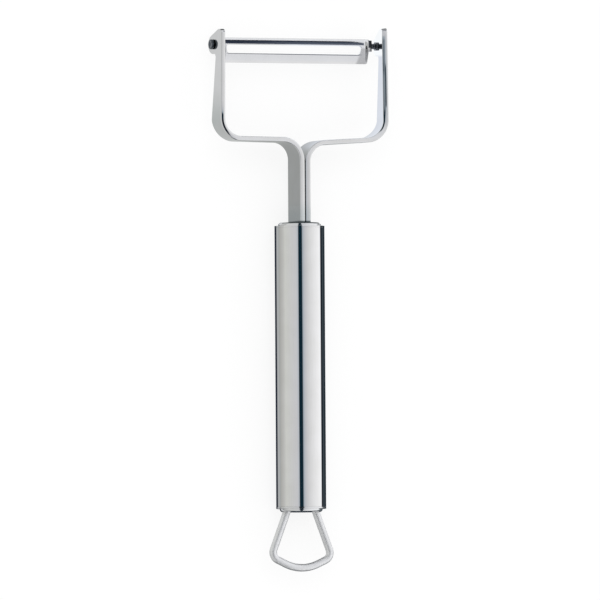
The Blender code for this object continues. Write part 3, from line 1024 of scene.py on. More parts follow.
# %% The caps
def cap_profile():
    spigot = HANDLE_RADIUS - TUBE_WALL - FIT_GAP
    rim_radius = HANDLE_RADIUS - CAP_RIM_ROUND
    rim_height = -LIP_HEIGHT - CAP_RIM_ROUND
    return [
        (0.0, 0.0),
        *arc(LIP_RADIUS - LIP_ROUND, -LIP_ROUND, LIP_ROUND, 0, 90, LIP_STEPS),
        (LIP_RADIUS, -LIP_HEIGHT),
        *arc(rim_radius, rim_height, CAP_RIM_ROUND, 0, 90, CAP_RIM_STEPS),
        (HANDLE_RADIUS, -CAP_RIM),
        (spigot, -CAP_RIM),
        (spigot, -CAP_RIM - SPIGOT_LENGTH),
        (0.0, -CAP_RIM - SPIGOT_LENGTH),
    ]


def cap(name, end_y, facing):
    """A cap on the handle's axis, its face towards the head (1) or the loop (-1)."""
    thing = turned(name, cap_profile())
    tilt = Matrix.Rotation(-math.pi / 2 * facing, 4, "X")
    thing.matrix_world = Matrix.Translation((0, end_y, AXIS_Z)) @ tilt
    made = baked(thing, name)
    tidy(made.data)
    return made


def box_cutter(size, place):
    work = bmesh.new()
    bmesh.ops.create_cube(work, size=1.0, matrix=Matrix.Translation(place) @ Matrix.Diagonal((*size, 1)))
    return new_object("cutter", mesh_from(work, "cutter"))


def finished_cap(thing, node):
    thing.data.materials.clear()
    thing.data.materials.append(handle_steel)
    standing_for(thing, node, "handle", sharp_degrees=28)


# %% The top cap, with its slot
slot_width = 2 * STRIP_THICKNESS + NECK_SEAM + 2 * FIT_GAP
slot_size = (slot_width, THROUGH_CAP, NECK_WIDTH + 2 * FIT_GAP)
top_cap = cut(
    cap("fine_top_cap", HANDLE_TOP, 1),
    box_cutter(slot_size, Vector((0, HANDLE_TOP, AXIS_Z))),
)
finished_cap(top_cap, "handle_top_cap")
print("slot:", slot_size[0], "by", slot_size[2])

# %% The end cap's slanting holes
WIRE_DIAMETER = 0.0027
LEG_SPACING = 0.0114
LEG_ANGLE = math.radians(21.0)
HOLE_LENGTH = 0.028
HOLE_SIDES = 96


def leg_line():
    """Where the loop's right leg passes the handle's end, and the way it runs from there."""
    return Vector((LEG_SPACING / 2, HANDLE_END)), Vector((math.sin(LEG_ANGLE), -math.cos(LEG_ANGLE)))


def leg_cutter(side):
    start, down = leg_line()
    way = Vector((side * down.x, down.y, 0.0))
    radius = WIRE_DIAMETER / 2 + FIT_GAP
    work = bmesh.new()
    bmesh.ops.create_cone(
        work, cap_ends=True, segments=HOLE_SIDES, radius1=radius, radius2=radius, depth=HOLE_LENGTH
    )
    mesh = mesh_from(work, "cutter")
    mesh.transform(way.to_track_quat("Z", "X").to_matrix().to_4x4())
    mesh.transform(Matrix.Translation((side * start.x, start.y, AXIS_Z)))
    return new_object("cutter", mesh)


end_cap = cap("fine_end_cap", HANDLE_END, -1)
for side in (-1, 1):
    end_cap = cut(end_cap, leg_cutter(side))
finished_cap(end_cap, "handle_end_cap")

# %% [markdown]
# The hanging loop is one bent wire. Its line is five points: the two ends inside the cap, the two lower
# corners, and the middle of the bottom. Each point carries the radius of its bend in the curve's own
# radius, and the tree reads it there, fillets the corners, and sweeps a round section along the line.

# %% The wire's line
LEG_TANG = 0.0065
LOOP_DROP = 0.0214
LOOP_CORNER_RADIUS = 0.0030
LOOP_BOTTOM_RADIUS = 0.0150
LOOP_BOTTOM_SLOPE = math.radians(25.0)


def loop_corners():
    start, down = leg_line()
    inner_end = start - down * LEG_TANG
    lowest = HANDLE_END - LOOP_DROP + WIRE_DIAMETER / 2
    bottom = lowest - LOOP_BOTTOM_RADIUS * (1 / math.cos(LOOP_BOTTOM_SLOPE) - 1)
    slope = math.tan(LOOP_BOTTOM_SLOPE)
    reach = (start.y - bottom - slope * start.x) / (slope * down.x - down.y)
    corner = start + down * reach
    half = [
        (inner_end.x, inner_end.y, 0.0),
        (corner.x, corner.y, LOOP_CORNER_RADIUS),
        (0.0, bottom, LOOP_BOTTOM_RADIUS),
    ]
    return half + [(-x, y, radius) for x, y, radius in reversed(half[:-1])]


print("the loop's corners:", loop_corners())

# %% The tree that bends a wire
def wire_tree():
    tree = ShapeTree(
        "bent_wire",
        {"Wire Diameter": "size", "Bend Steps": "count", "Sides": "count", "Material": "material"},
    )
    given = tree.given
    bends = tree.add("GeometryNodeInputRadius")
    line = tree.fillet(given["Geometry"], given["Bend Steps"], bends)
    even = tree.add("GeometryNodeSetCurveRadius", sockets={"Curve": line, "Radius": 1.0})
    section = tree.circle(given["Sides"], given["Wire Diameter"] / 2)
    wire = tree.add(
        "GeometryNodeCurveToMesh",
        sockets={"Curve": even, "Profile Curve": section, "Fill Caps": True},
    )
    tree.finish(wire)
    return tree


# %% The wire
WIRE_BEND_STEPS = 28
WIRE_SIDES = 64


def bend_line(name, corners, height):
    """A poly curve through corners of (x, y, radius), which keeps each radius on its point."""
    curve = bpy.data.curves.new(name, "CURVE")
    curve.dimensions = "3D"
    spline = curve.splines.new("POLY")
    spline.points.add(len(corners) - 1)
    for point, (x, y, radius) in zip(spline.points, corners):
        point.co = (x, y, height, 1.0)
        point.radius = radius
    return new_object(name, curve)


wire = wire_tree().run(
    bend_line("loop_line", loop_corners(), AXIS_Z),
    "fine_hanging_loop",
    {
        "Wire Diameter": WIRE_DIAMETER,
        "Bend Steps": WIRE_BEND_STEPS,
        "Sides": WIRE_SIDES,
        "Material": loop_steel,
    },
)
tidy(wire.data)
standing_for(wire, "hanging_loop", "handle", sharp_degrees=40)

# %% [markdown]
# Each half of the fork starts as a flat blank, cut out of sheet: narrow at the tip, with a round ear
# for the pin, a slim arm, and a broad neck. It is then bent twice. The outline is drawn flat, where it
# is simple, and a tree bends it: every point looks up its distance along a bend line with Sample Curve,
# and steps off that line by its height in the sheet. The arms also open a little towards the back.

# %% The fork's sizes
HALF_STRIP = STRIP_THICKNESS / 2
FRONT = NECK_WIDTH / 2
TANG_LENGTH = 0.0140
BEND_RADIUS = 0.0064
BAR_HEIGHT = {"left": 0.0300, "right": 0.0303}
BAR_RISE = {"left": math.radians(0.6), "right": math.radians(3.5)}
ARM_SPREAD = 0.0650
ARM_TOP = {"left": 0.0693, "right": 0.0702}
ARM_LEAN = math.radians(0.5)
ARM_TOE_OUT = math.radians(4.5)
ARM_BASE_WIDTH = 0.0077
ARM_NECKED_WIDTH = 0.0046
ARM_TIP_WIDTH = 0.0030
TIP_CORNER_RADIUS = 0.0014
TAPER_BLEND_RADIUS = 0.0200
PIVOT_HEIGHT = 0.0639
PIVOT_DEPTH = 0.0066
EAR_DEPTH = 0.0070
EAR_RADIUS = 0.0035
EAR_FILLET = 0.0013
PIN_DIAMETER = 0.0020
PIN_CLEARANCE = 0.0001

# %% The strip's bend line
def arm_line_x(height):
    """How far the middle of an arm's front edge is from the handle's axis at this height."""
    return ARM_SPREAD / 2 - HALF_STRIP + math.tan(ARM_LEAN) * (PIVOT_HEIGHT - height)


def neck_end_of(side):
    """Where the neck ends and its bend begins, along the strip."""
    return TANG_LENGTH + BAR_HEIGHT[side] - BEND_RADIUS


def arm_start_of(side, end):
    """Where the second bend ends and the arm begins, along a strip of this length."""
    return end - (ARM_TOP[side] - BAR_HEIGHT[side] - BEND_RADIUS) / math.cos(ARM_LEAN)


def strip_corners(side):
    neck_x = NECK_SEAM / 2 + HALF_STRIP
    bar_end = BAR_HEIGHT[side]
    bar_end_x = arm_line_x(bar_end)
    bar_start = bar_end - math.tan(BAR_RISE[side]) * (bar_end_x - neck_x)
    radius = BEND_RADIUS + HALF_STRIP
    return [
        (neck_x, -TANG_LENGTH, 0.0),
        (neck_x, bar_start, radius),
        (bar_end_x, bar_end, radius),
        (arm_line_x(ARM_TOP[side]), ARM_TOP[side], 0.0),
    ]


def lengths_along(points):
    lengths = [0.0]
    for start, end in zip(points, points[1:]):
        lengths.append(lengths[-1] + (end - start).length)
    return lengths


# %% The strip's blank
def blank_outlines(side, end):
    """The blank's edge and its pin hole, along the strip in X and back from its front edge in -Y."""
    pivot = end - (ARM_TOP[side] - PIVOT_HEIGHT) / math.cos(ARM_LEAN)
    rear_most = EAR_DEPTH + EAR_RADIUS
    to_ear = Vector((pivot - end, EAR_DEPTH - ARM_TIP_WIDTH))
    slant = math.atan2(to_ear.y, to_ear.x) - math.asin(EAR_RADIUS / to_ear.length)
    slant_run = (rear_most - ARM_TIP_WIDTH) / math.tan(slant)
    corners = [
        (0.0, 0.0, 0.0),
        (end, 0.0, TIP_CORNER_RADIUS),
        (end, ARM_TIP_WIDTH, TIP_CORNER_RADIUS),
        (end + slant_run, rear_most, EAR_RADIUS),
        (pivot - EAR_RADIUS, rear_most, EAR_RADIUS),
        (pivot - EAR_RADIUS, ARM_NECKED_WIDTH, EAR_FILLET),
        (arm_start_of(side, end), ARM_BASE_WIDTH, TAPER_BLEND_RADIUS),
        (neck_end_of(side), NECK_WIDTH, TAPER_BLEND_RADIUS),
        (0.0, NECK_WIDTH, 0.0),
    ]
    edge = rounded_outline([(along, -depth, radius) for along, depth, radius in corners])
    return [edge, circle(pivot, -PIVOT_DEPTH, PIN_DIAMETER / 2 + PIN_CLEARANCE)]


# %% Cut and mark a blank
ON_THE_CUT = 1e-8


def cut_at(work, places, way=Vector((1, 0, 0))):
    """Cuts every face where it crosses these places on the way, so that the blank can bend there."""
    for place in places:
        bmesh.ops.bisect_plane(
            work,
            geom=work.verts[:] + work.edges[:] + work.faces[:],
            dist=ON_THE_CUT,
            plane_co=way * place,
            plane_no=way,
        )


def finished_blank(name, work):
    """Stores the flat coordinates as a UV map, for the polishing lines, and makes the object."""
    flat = work.loops.layers.uv.new("flat_blank")
    for face in work.faces:
        for loop in face.loops:
            loop[flat].uv = loop.vert.co.xy
    return new_object(name, mesh_from(work, name))


# %% The tree that bends a blank
def bending_tree():
    tree = ShapeTree(
        "bent_strip",
        {
            "Bend Line": "object",
            "Side": "size",
            "Toe Out": "size",
            "Toe From": "size",
            "Toe Rise": "size",
            "Place": "vector",
            "Material": "material",
        },
    )
    given = tree.given
    along, across, up = tree.split(tree.add("GeometryNodeInputPosition"))
    line = tree.add("GeometryNodeObjectInfo", sockets={"Object": given["Bend Line"]}, output="Geometry")
    sample = tree.node(
        "GeometryNodeSampleCurve",
        {"mode": "LENGTH", "use_all_curves": True},
        {"Curves": line, "Length": along},
    )
    on_line = Signal(tree, sample.outputs["Position"])
    tangent = Signal(tree, sample.outputs["Tangent"])
    outwards = tree.vector("CROSS_PRODUCT", (0.0, 0.0, 1.0), tangent)
    step = tree.add("ShaderNodeVectorMath", {"operation": "SCALE"}, {0: outwards, "Scale": up})
    x, y, z = tree.split(tree.vector("ADD", on_line, step))
    risen = ((y - given["Toe From"]) / given["Toe Rise"]).clamped()
    opened = x - given["Toe Out"] * across * risen
    bent = tree.join(opened * given["Side"], y, across)
    placed = tree.vector("ADD", bent, given["Place"])
    moved = tree.add(
        "GeometryNodeSetPosition", sockets={"Geometry": given["Geometry"], "Position": placed}
    )
    tree.finish(moved)
    return tree


# %% [markdown]
# The strip's rim is where a polished strip shows its character. The wheel has crowned the narrow edge a
# little and rounded its two corners, but it never reached the seam of the neck. A Bevel can't vary like
# that, so the rim is lofted: the outline is repeated at several heights in the sheet, and each copy is
# drawn inwards by what a small profile says.

# %% Points along an outline
RIM_STEP = 0.0010


def refined(outline):
    """The same outline with more points on its long runs, for the rim to change along them."""
    points = []
    for start, end in zip(outline, outline[1:] + outline[:1]):
        parts = max(1, math.ceil((end - start).length / RIM_STEP))
        points.extend(start.lerp(end, part / parts) for part in range(parts))
    return points


def inward_ways(outline, is_hole):
    """For each point of an outline the way into the metal, long enough to keep corners parallel."""
    following = outline[1:] + outline[:1]
    area = sum(here.cross(after) for here, after in zip(outline, following))
    sign = 1.0 if (area > 0) != is_hole else -1.0
    ways = []
    for index, here in enumerate(outline):
        before = (here - outline[index - 1]).normalized()
        after = (following[index] - here).normalized()
        first = Vector((-before.y, before.x))
        second = Vector((-after.y, after.x))
        ways.append((first + second) * (sign / (1 + first.dot(second))))
    return ways


# %% A rim with a profile
ROUND_STEPS = 6
FLAT_BLEND = 0.00006


def past_turn(distance):
    """How far past the turn between two flats a height is, with a soft start."""
    if abs(distance) <= FLAT_BLEND:
        return (distance + FLAT_BLEND) ** 2 / (4 * FLAT_BLEND)
    return max(distance, 0.0)


def rim_profile(low, high, lower_round, upper_round, crown, slopes, turns):
    """(height, inset) from the sheet's lower face over its edge to its upper face.

    The edge has three flats. `slopes` says how steep each one is, from below, and `turns` at which
    two heights one flat turns into the next.
    """
    middle = (low + high) / 2
    half = (high - low) / 2
    steps = []
    for step in range(ROUND_STEPS + 1):
        angle = math.pi / 2 * (1 - step / ROUND_STEPS)
        height = low + lower_round * (1 - math.sin(angle))
        steps.append((height, lower_round * (1 - math.cos(angle))))
    for turn in turns:
        steps += [(turn + aside, 0.0) for aside in (-FLAT_BLEND, 0.0, FLAT_BLEND)]
    for step in range(ROUND_STEPS + 1):
        angle = math.pi / 2 * step / ROUND_STEPS
        height = high - upper_round * (1 - math.sin(angle))
        steps.append((height, upper_round * (1 - math.cos(angle))))
    profile = []
    for height, inset in steps:
        inset += crown * ((height - middle) / half) ** 2 + slopes[0] * (height - middle)
        for turn, before, after in zip(turns, slopes, slopes[1:]):
            inset += (after - before) * past_turn(height - turn)
        profile.append((height, inset))
    return profile


# %% A blank with such a rim
def lofted_blank(name, outlines, rim_at, cuts_along):
    """A plate in the XY plane. `rim_at` gives the profile at a point of the outline or of a hole."""
    work = bmesh.new()
    face_edges = {0: [], -1: []}
    for index, coarse in enumerate(outlines):
        outline = refined(coarse)
        ways = inward_ways(outline, is_hole=index > 0)
        columns = []
        for place, way in zip(outline, ways):
            column = []
            for height, inset in rim_at(place, index > 0):
                inner = place + way * inset
                column.append(work.verts.new((inner.x, inner.y, height)))
            columns.append(column)
        for column, beside in zip(columns, columns[1:] + columns[:1]):
            for level in range(len(column) - 1):
                corners = (column[level], beside[level], beside[level + 1], column[level + 1])
                work.faces.new(corners)
            for level in face_edges:
                face_edges[level].append(work.edges.get((column[level], beside[level])))
    for edges in face_edges.values():
        bmesh.ops.triangle_fill(work, edges=edges, use_beauty=True, use_dissolve=True, normal=(0, 0, 1))
    bmesh.ops.recalc_face_normals(work, faces=work.faces)
    cut_at(work, cuts_along)
    return finished_blank(name, work)


# %% [markdown]
# The numbers below say how round each part of the rim is, in metres. The wheel has left three flats
# along the narrow front edge, and they lean by other angles in the neck, the bar, the bend and the arm.
# A few degrees decide what such a flat mirrors: the long dark lines down one arm and round the other
# bend come from them. `SEAM_FILL` thickens both necks towards their seam, and `ARM_SWELL` the right arm
# on its inner side. Each fade gives two places, and the rim changes between them.

# %% The rims' numbers
EDGE_ROUND = 0.00035
NECK_ROUND = 0.00028
SEAM_ROUND = 0.00006
HOLE_ROUND = 0.00010
SEAM_FILL = 0.00008
ARM_INNER_ROUND = {"left": 0.00035, "right": 0.00012}
ARM_SWELL = {"left": 0.0, "right": 0.0003}
BAR_CROWN = {"left": 0.00007, "right": 0.00004}
ARM_CROWN = {"left": 0.00007, "right": 0.00001}
FLAT_TURNS = {"left": (0.00012, 0.00030), "right": (-0.00013, 0.00017)}
TURN_SHIFT = {"left": 0.0, "right": 0.00032}
BEND_LENGTH = math.pi / 2 * (BEND_RADIUS + HALF_STRIP)
NECK_FADE = (-0.002, 0.004)
SEAM_FADE = (-0.004, 0.001)
TURN_FADE = (-0.001, 0.005)
FRONT_FADE = (-0.003, -0.001)

# %% Easing
def ease(value, low, high):
    """0 below one value and 1 above the other, with a smooth rise."""
    share = min(max((value - low) / (high - low), 0.0), 1.0)
    return share * share * (3 - 2 * share)


def eased_from(value, start, fade):
    """`ease` over a fade that is given from a start."""
    return ease(value, start + fade[0], start + fade[1])


# %% How the flats lean
def flat_leans(side, neck_end, arm_start, end):
    """Places along the strip, with how many degrees the three flats of its front edge lean there."""
    if side == "left":
        return [
            (arm_start - BEND_LENGTH - 0.001, (-2.0, -2.0, -2.0)),
            (arm_start - BEND_LENGTH * 0.6, (-22.2, -2.0, -2.0)),
            (arm_start - BEND_LENGTH * 0.1, (-22.2, -2.0, -2.0)),
            (arm_start + 0.008, (-2.0, -2.0, -2.0)),
        ]
    return [
        (neck_end - 0.002, (9.0, 9.0, 9.0)),
        (neck_end + 0.006, (1.5, 1.5, 1.5)),
        (arm_start - BEND_LENGTH, (1.5, 1.5, 1.5)),
        (arm_start - BEND_LENGTH * 0.5, (6.0, 8.0, 21.0)),
        (arm_start, (12.0, 13.0, 19.0)),
        (arm_start + 0.0045, (14.0, 15.0, 16.5)),
        (arm_start + 0.0065, (14.0, 21.7, 16.3)),
        (end - 0.0180, (14.0, 21.7, 16.2)),
        (end - 0.0150, (13.5, 19.0, 16.6)),
        (end - 0.0110, (12.5, 15.0, 16.4)),
        (end - 0.0032, (12.5, 15.0, 16.4)),
        (end - 0.0012, (8.0, 8.0, 8.0)),
    ]


def lean_slopes(stations, along):
    """The slopes of the three flats at one place, eased from one station to the next."""
    leans = stations[0][1]
    for (place, before), (following, after) in zip(stations, stations[1:]):
        share = ease(along, place, following)
        if share > 0:
            leans = [first + (second - first) * share for first, second in zip(before, after)]
    return [math.tan(math.radians(lean)) for lean in leans]


# %% The rim at any place
def strip_rims(side, end):
    neck_end = neck_end_of(side)
    arm_start = arm_start_of(side, end)
    stations = flat_leans(side, neck_end, arm_start, end)

    def rim_at(place, is_hole):
        past_neck = eased_from(place.x, neck_end, NECK_FADE)
        on_arm = ease(place.x, arm_start - BEND_LENGTH, arm_start - BEND_LENGTH * 0.5)
        top = HALF_STRIP + SEAM_FILL * (1 - eased_from(place.x, neck_end, SEAM_FADE))
        top += ARM_SWELL[side] * on_arm
        first_turn, second_turn = FLAT_TURNS[side]
        second_turn += TURN_SHIFT[side] * (1 - eased_from(place.x, arm_start, TURN_FADE))
        turns = (first_turn, second_turn)
        if is_hole:
            return rim_profile(-HALF_STRIP, top, HOLE_ROUND, HOLE_ROUND, 0.0, (0.0, 0.0, 0.0), turns)
        outer = NECK_ROUND + (EDGE_ROUND - NECK_ROUND) * past_neck
        inner = SEAM_ROUND + (EDGE_ROUND - SEAM_ROUND) * past_neck
        inner += (ARM_INNER_ROUND[side] - inner) * on_arm
        crown = BAR_CROWN[side] + (ARM_CROWN[side] - BAR_CROWN[side]) * on_arm
        at_front = ease(place.y, *FRONT_FADE)
        slopes = [slope * at_front for slope in lean_slopes(stations, place.x)]
        return rim_profile(-HALF_STRIP, top, outer, inner, crown, slopes, turns)

    return rim_at


# %% Bend and finish both strips
strip_bending = bending_tree()


def make_strip(side):
    points = rounded_outline(strip_corners(side), closed=False)
    lengths = lengths_along(points)
    end = lengths[-1]
    print(side, "blank's length", end)
    line = bend_line("bend_line_" + side, [(p.x, p.y, 1.0) for p in points], 0.0)
    rims = strip_rims(side, end)
    blank = lofted_blank("blank_" + side, blank_outlines(side, end), rims, lengths[1:-1])
    strip = strip_bending.run(
        blank,
        "fine_fork_strip_" + side,
        {
            "Bend Line": line,
            "Side": -1.0 if side == "left" else 1.0,
            "Toe Out": math.tan(ARM_TOE_OUT),
            "Toe From": BAR_HEIGHT[side],
            "Toe Rise": BEND_RADIUS,
            "Place": (0.0, HANDLE_TOP, FRONT + AXIS_Z),
            "Material": strip_steel,
        },
    )
    bpy.data.objects.remove(line, do_unlink=True)
    tidy(strip.data)
    standing_for(strip, "fork_strip_" + side, "handle", sharp_degrees=40)


for side in ("left", "right"):
    make_strip(side)

# %% [markdown]
# The blade is a thin slotted plate. It is arched across, like a roof tile, so that its ground edge in
# the slot stands up into the vegetable, and a lug at each end is bent back to hang on a pin. The arch
# fades out at the two ends, and the left end runs a little into its bend. A filled 2D curve gives the
# plate with its slot and holes, and a function lifts its points. The narrow facet along the slot is
# the cutting edge.

# %% The blade's sizes
BLADE_THICKNESS = 0.0009
BLADE_WIDTH = 0.0090
BLADE_DROP = 0.0021
BLADE_ARCH_RADIUS = 0.0080
BLADE_ARCH_FADE = {"left": 0.0006, "right": 0.0022}
BLADE_LEFT_WRAP = 0.0010
BLADE_BEND_RADIUS = 0.0009
BLADE_CORNER_CUT = 0.0008
BLADE_CORNER_RADIUS = 0.0008
BLADE_WRAP_CORNER = 0.0003
BLADE_EDGE_ROUND = 0.00008
LUG_RADIUS = 0.0020
SLOT_WIDTH = 0.0032
SLOT_LENGTH = 0.0530
SLOT_OFFSET = -0.0015
SLOT_DROP = -0.0005
SLOT_END_SLANT = 0.0011
SLOT_CORNER_RADIUS = 0.0010
FACET_WIDTH = 0.00030
FACET_DEPTH = 0.00018
FACET_FADE = 0.0003
FACET_ROOM = 1e-4
BLADE_AHEAD_OF_PIVOT = 0.0024
ARCH_STRIPS = 36
FADE_STRIPS = 14

blade_low, blade_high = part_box("blade")
PIVOT_Y = HANDLE_TOP + PIVOT_HEIGHT
PIVOT_Z = AXIS_Z + FRONT - PIVOT_DEPTH
SLOT_LOW = -BLADE_DROP - SLOT_DROP - SLOT_WIDTH / 2
blade_middle = (blade_low.x + blade_high.x) / 2
plate_half = (blade_high.x - blade_low.x) / 2 - BLADE_THICKNESS - BLADE_BEND_RADIUS
print("blade's flat half length", plate_half, "middle", blade_middle)


# %% The blade's bend line
def blade_line():
    """The blade's middle line seen from its edge: the plate, then a lug bent back at each end."""
    radius = BLADE_BEND_RADIUS + BLADE_THICKNESS / 2
    lug_x = plate_half + radius
    lug_end = -BLADE_AHEAD_OF_PIVOT - LUG_RADIUS
    corners = [
        (-lug_x, lug_end, 0.0),
        (-lug_x, 0.0, radius),
        (lug_x, 0.0, radius),
        (lug_x, lug_end, 0.0),
    ]
    return rounded_outline(corners, closed=False)


# %% The blade's outline
def blade_outlines(full):
    half = full / 2
    low = -BLADE_DROP - BLADE_WIDTH / 2
    high = -BLADE_DROP + BLADE_WIDTH / 2
    right = [
        (plate_half, high, BLADE_CORNER_RADIUS),
        (plate_half, LUG_RADIUS, 0.0),
        (half, LUG_RADIUS, LUG_RADIUS),
        (half, -LUG_RADIUS, LUG_RADIUS),
        (plate_half, -LUG_RADIUS, 0.0),
        (plate_half - BLADE_CORNER_CUT, low, BLADE_CORNER_RADIUS),
    ]
    wrap = plate_half + BLADE_LEFT_WRAP
    left = [
        (-wrap, low, BLADE_WRAP_CORNER),
        (-wrap, -LUG_RADIUS, 0.0),
        (-half, -LUG_RADIUS, LUG_RADIUS),
        (-half, LUG_RADIUS, LUG_RADIUS),
        (-wrap, LUG_RADIUS, 0.0),
        (-wrap, high, BLADE_WRAP_CORNER),
    ]
    outline = [(x + half, y, radius) for x, y, radius in right + left]
    slot_left = half + SLOT_OFFSET - SLOT_LENGTH / 2
    slot_right = slot_left + SLOT_LENGTH
    slot = [
        (slot_left, SLOT_LOW, SLOT_CORNER_RADIUS),
        (slot_right - SLOT_END_SLANT, SLOT_LOW, SLOT_CORNER_RADIUS),
        (slot_right, SLOT_LOW + SLOT_WIDTH, SLOT_CORNER_RADIUS),
        (slot_left, SLOT_LOW + SLOT_WIDTH, SLOT_CORNER_RADIUS),
    ]
    hole = PIN_DIAMETER / 2 + PIN_CLEARANCE
    holes = [circle(x, 0.0, hole) for x in (LUG_RADIUS, full - LUG_RADIUS)]
    return [rounded_outline(outline), rounded_outline(slot)] + holes


# %% The blade's flat plate
NEARLY_FLAT = math.radians(0.1)


def flat_plate(name, outlines):
    """A filled 2D curve, as a solid plate of the blade's thickness."""
    curve = bpy.data.curves.new(name, "CURVE")
    curve.dimensions = "2D"
    curve.fill_mode = "BOTH"
    curve.extrude = BLADE_THICKNESS / 2
    for outline in outlines:
        spline = curve.splines.new("POLY")
        spline.points.add(len(outline) - 1)
        for point, place in zip(spline.points, outline):
            point.co = (place.x, place.y, 0.0, 1.0)
        spline.use_cyclic_u = True
    plate = baked(new_object(name, curve), name)
    work = bmesh.new()
    work.from_mesh(plate.data)
    bpy.data.objects.remove(plate, do_unlink=True)
    bmesh.ops.remove_doubles(work, verts=work.verts, dist=TINY)
    bmesh.ops.recalc_face_normals(work, faces=work.faces)
    bmesh.ops.dissolve_limit(work, angle_limit=NEARLY_FLAT, verts=work.verts, edges=work.edges)
    return work


# %% The bent and arched blade
def point_on(points, lengths, along, offset):
    """The point this far along a line of short runs and this far to the left of it."""
    index = 0
    while index < len(lengths) - 2 and along > lengths[index + 1]:
        index += 1
    heading = (points[index + 1] - points[index]).normalized()
    neighbours = []
    for corner in (index, index + 1):
        before = points[max(corner - 1, 0)]
        after = points[min(corner + 1, len(points) - 1)]
        way = ((points[corner] - before).normalized() + (after - points[corner]).normalized()).normalized()
        neighbours.append(points[corner] + Vector((-way.y, way.x)) * (offset / way.dot(heading)))
    share = (along - lengths[index]) / (lengths[index + 1] - lengths[index])
    return neighbours[0].lerp(neighbours[1], share)


def arched(flat, across, up, share):
    """A point of the plate on the arch, where the share is 1, or still flat, where it is 0."""
    angle = (across + BLADE_DROP) / BLADE_ARCH_RADIUS
    radius = BLADE_ARCH_RADIUS + up
    lift = BLADE_ARCH_RADIUS * math.cos(BLADE_WIDTH / 2 / BLADE_ARCH_RADIUS)
    round_place = Vector((flat.x, radius * math.sin(angle) - BLADE_DROP, radius * math.cos(angle) - lift))
    return flat.lerp(round_place, share)


def shape_blade(mesh, points, lengths):
    half = lengths[-1] / 2
    for vertex in mesh.vertices:
        along, across, up = vertex.co
        beside_slot = abs(along - half - SLOT_OFFSET) < SLOT_LENGTH / 2
        if beside_slot and up > 0 and across > SLOT_LOW - TINY:
            up -= FACET_DEPTH * (1 - ease(across - SLOT_LOW, 0.0, FACET_FADE))
        place = point_on(points, lengths, along, up)
        flat = Vector((place.x, across, place.y))
        side = "left" if along < half else "right"
        reach = plate_half + (BLADE_LEFT_WRAP if side == "left" else 0.0)
        share = 1 - ease(abs(along - half), reach - BLADE_ARCH_FADE[side], reach)
        vertex.co = arched(flat, across, up, share) + Vector((0, 0, BLADE_AHEAD_OF_PIVOT))


# %% Make the blade
def make_blade():
    points = blade_line()
    lengths = lengths_along(points)
    half = lengths[-1] / 2
    print("blade's length when flat", lengths[-1])
    cuts_along = lengths[1:-1]
    for index in range(FADE_STRIPS + 1):
        share = index / FADE_STRIPS
        cuts_along.append(half - plate_half - BLADE_LEFT_WRAP + BLADE_ARCH_FADE["left"] * share)
        cuts_along.append(half + plate_half - BLADE_ARCH_FADE["right"] * share)
    cuts_across = [
        -BLADE_DROP + BLADE_WIDTH * (index / ARCH_STRIPS - 0.5) for index in range(1, ARCH_STRIPS)
    ]
    facet_line = SLOT_LOW - FACET_WIDTH
    facet_low, facet_high = facet_line - FACET_ROOM, SLOT_LOW + FACET_ROOM
    cuts_across = [place for place in cuts_across if not facet_low < place < facet_high]
    work = flat_plate("blade_plate", blade_outlines(lengths[-1]))
    cut_at(work, cuts_along)
    cut_at(work, cuts_across + [facet_line], Vector((0, 1, 0)))
    plate = finished_blank("fine_blade", work)
    shape_blade(plate.data, points, lengths)
    plate.data.transform(Matrix.Translation((blade_middle, PIVOT_Y, PIVOT_Z)))
    tidy(plate.data)
    bevel = add_modifier(plate, "BEVEL", width=BLADE_EDGE_ROUND, segments=2, limit_method="ANGLE")
    bevel.angle_limit = math.radians(45)
    bevel.use_clamp_overlap = False
    blade = baked(plate, "fine_blade")
    blade.data.materials.append(blade_steel)
    standing_for(blade, "blade", "blade", sharp_degrees=20)


make_blade()

# %% [markdown]
# The pins are small turned rivets. Each has a round head with a shallow dimple on the outside of its
# ear and a shank that runs through the ear and the blade's lug, and the blade swings on them. A collar
# on the shank keeps the lug off the ear.

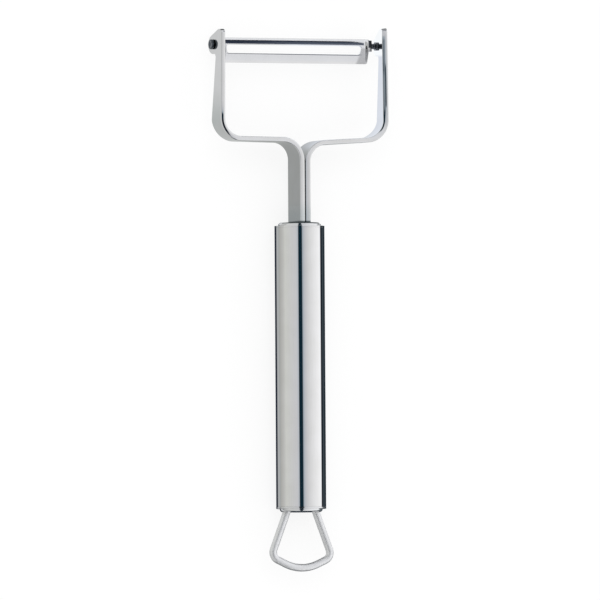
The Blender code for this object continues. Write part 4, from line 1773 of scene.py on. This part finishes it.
# %% The pins' sizes
PIN_HEAD_DIAMETER = 0.0036
PIN_HEAD_HEIGHT = 0.0009
PIN_HEAD_ROUND = 0.0003
PIN_HEAD_DIMPLE = 0.0004
PIN_HEAD_STEPS = 6
PIN_TIP_ROUND = 0.0001
PIN_TIP_STEPS = 3
PIN_SIDES = 96
DIMPLE_TURN = {"radius": 0.55, "depth": 0.8}
PIN_COLLAR_DIAMETER = 0.0030
PIN_COLLAR_REACH = (0.0303, 0.0312)

# %% Make the pins
def make_pin(side):
    sign = -1 if side == "left" else 1
    low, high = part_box("pivot_pin_" + side)
    tip, outer = sorted((abs(low.x), abs(high.x)))
    head = PIN_HEAD_DIAMETER / 2
    shank = PIN_DIAMETER / 2
    collar = PIN_COLLAR_DIAMETER / 2
    profile = [
        (0.0, outer - PIN_HEAD_DIMPLE),
        (shank * DIMPLE_TURN["radius"], outer - PIN_HEAD_DIMPLE * DIMPLE_TURN["depth"]),
        (shank, outer),
        *arc(head - PIN_HEAD_ROUND, outer - PIN_HEAD_ROUND, PIN_HEAD_ROUND, 0, 90, PIN_HEAD_STEPS),
        (head, outer - PIN_HEAD_HEIGHT),
        (shank, outer - PIN_HEAD_HEIGHT),
        (shank, PIN_COLLAR_REACH[1]),
        (collar, PIN_COLLAR_REACH[1]),
        (collar, PIN_COLLAR_REACH[0]),
        (shank, PIN_COLLAR_REACH[0]),
        *arc(shank - PIN_TIP_ROUND, tip + PIN_TIP_ROUND, PIN_TIP_ROUND, 90, 180, PIN_TIP_STEPS),
        (0.0, tip),
    ]
    name = "fine_pin_" + side
    thing = turned(name, profile, steps=PIN_SIDES)
    tilt = Matrix.Rotation(sign * math.pi / 2, 4, "Y")
    thing.matrix_world = Matrix.Translation((0, PIVOT_Y, PIVOT_Z)) @ tilt
    pin = baked(thing, name)
    tidy(pin.data)
    pin.data.materials.append(pin_steel)
    standing_for(pin, "pivot_pin_" + side, "handle", sharp_degrees=40)


for side in ("left", "right"):
    make_pin(side)
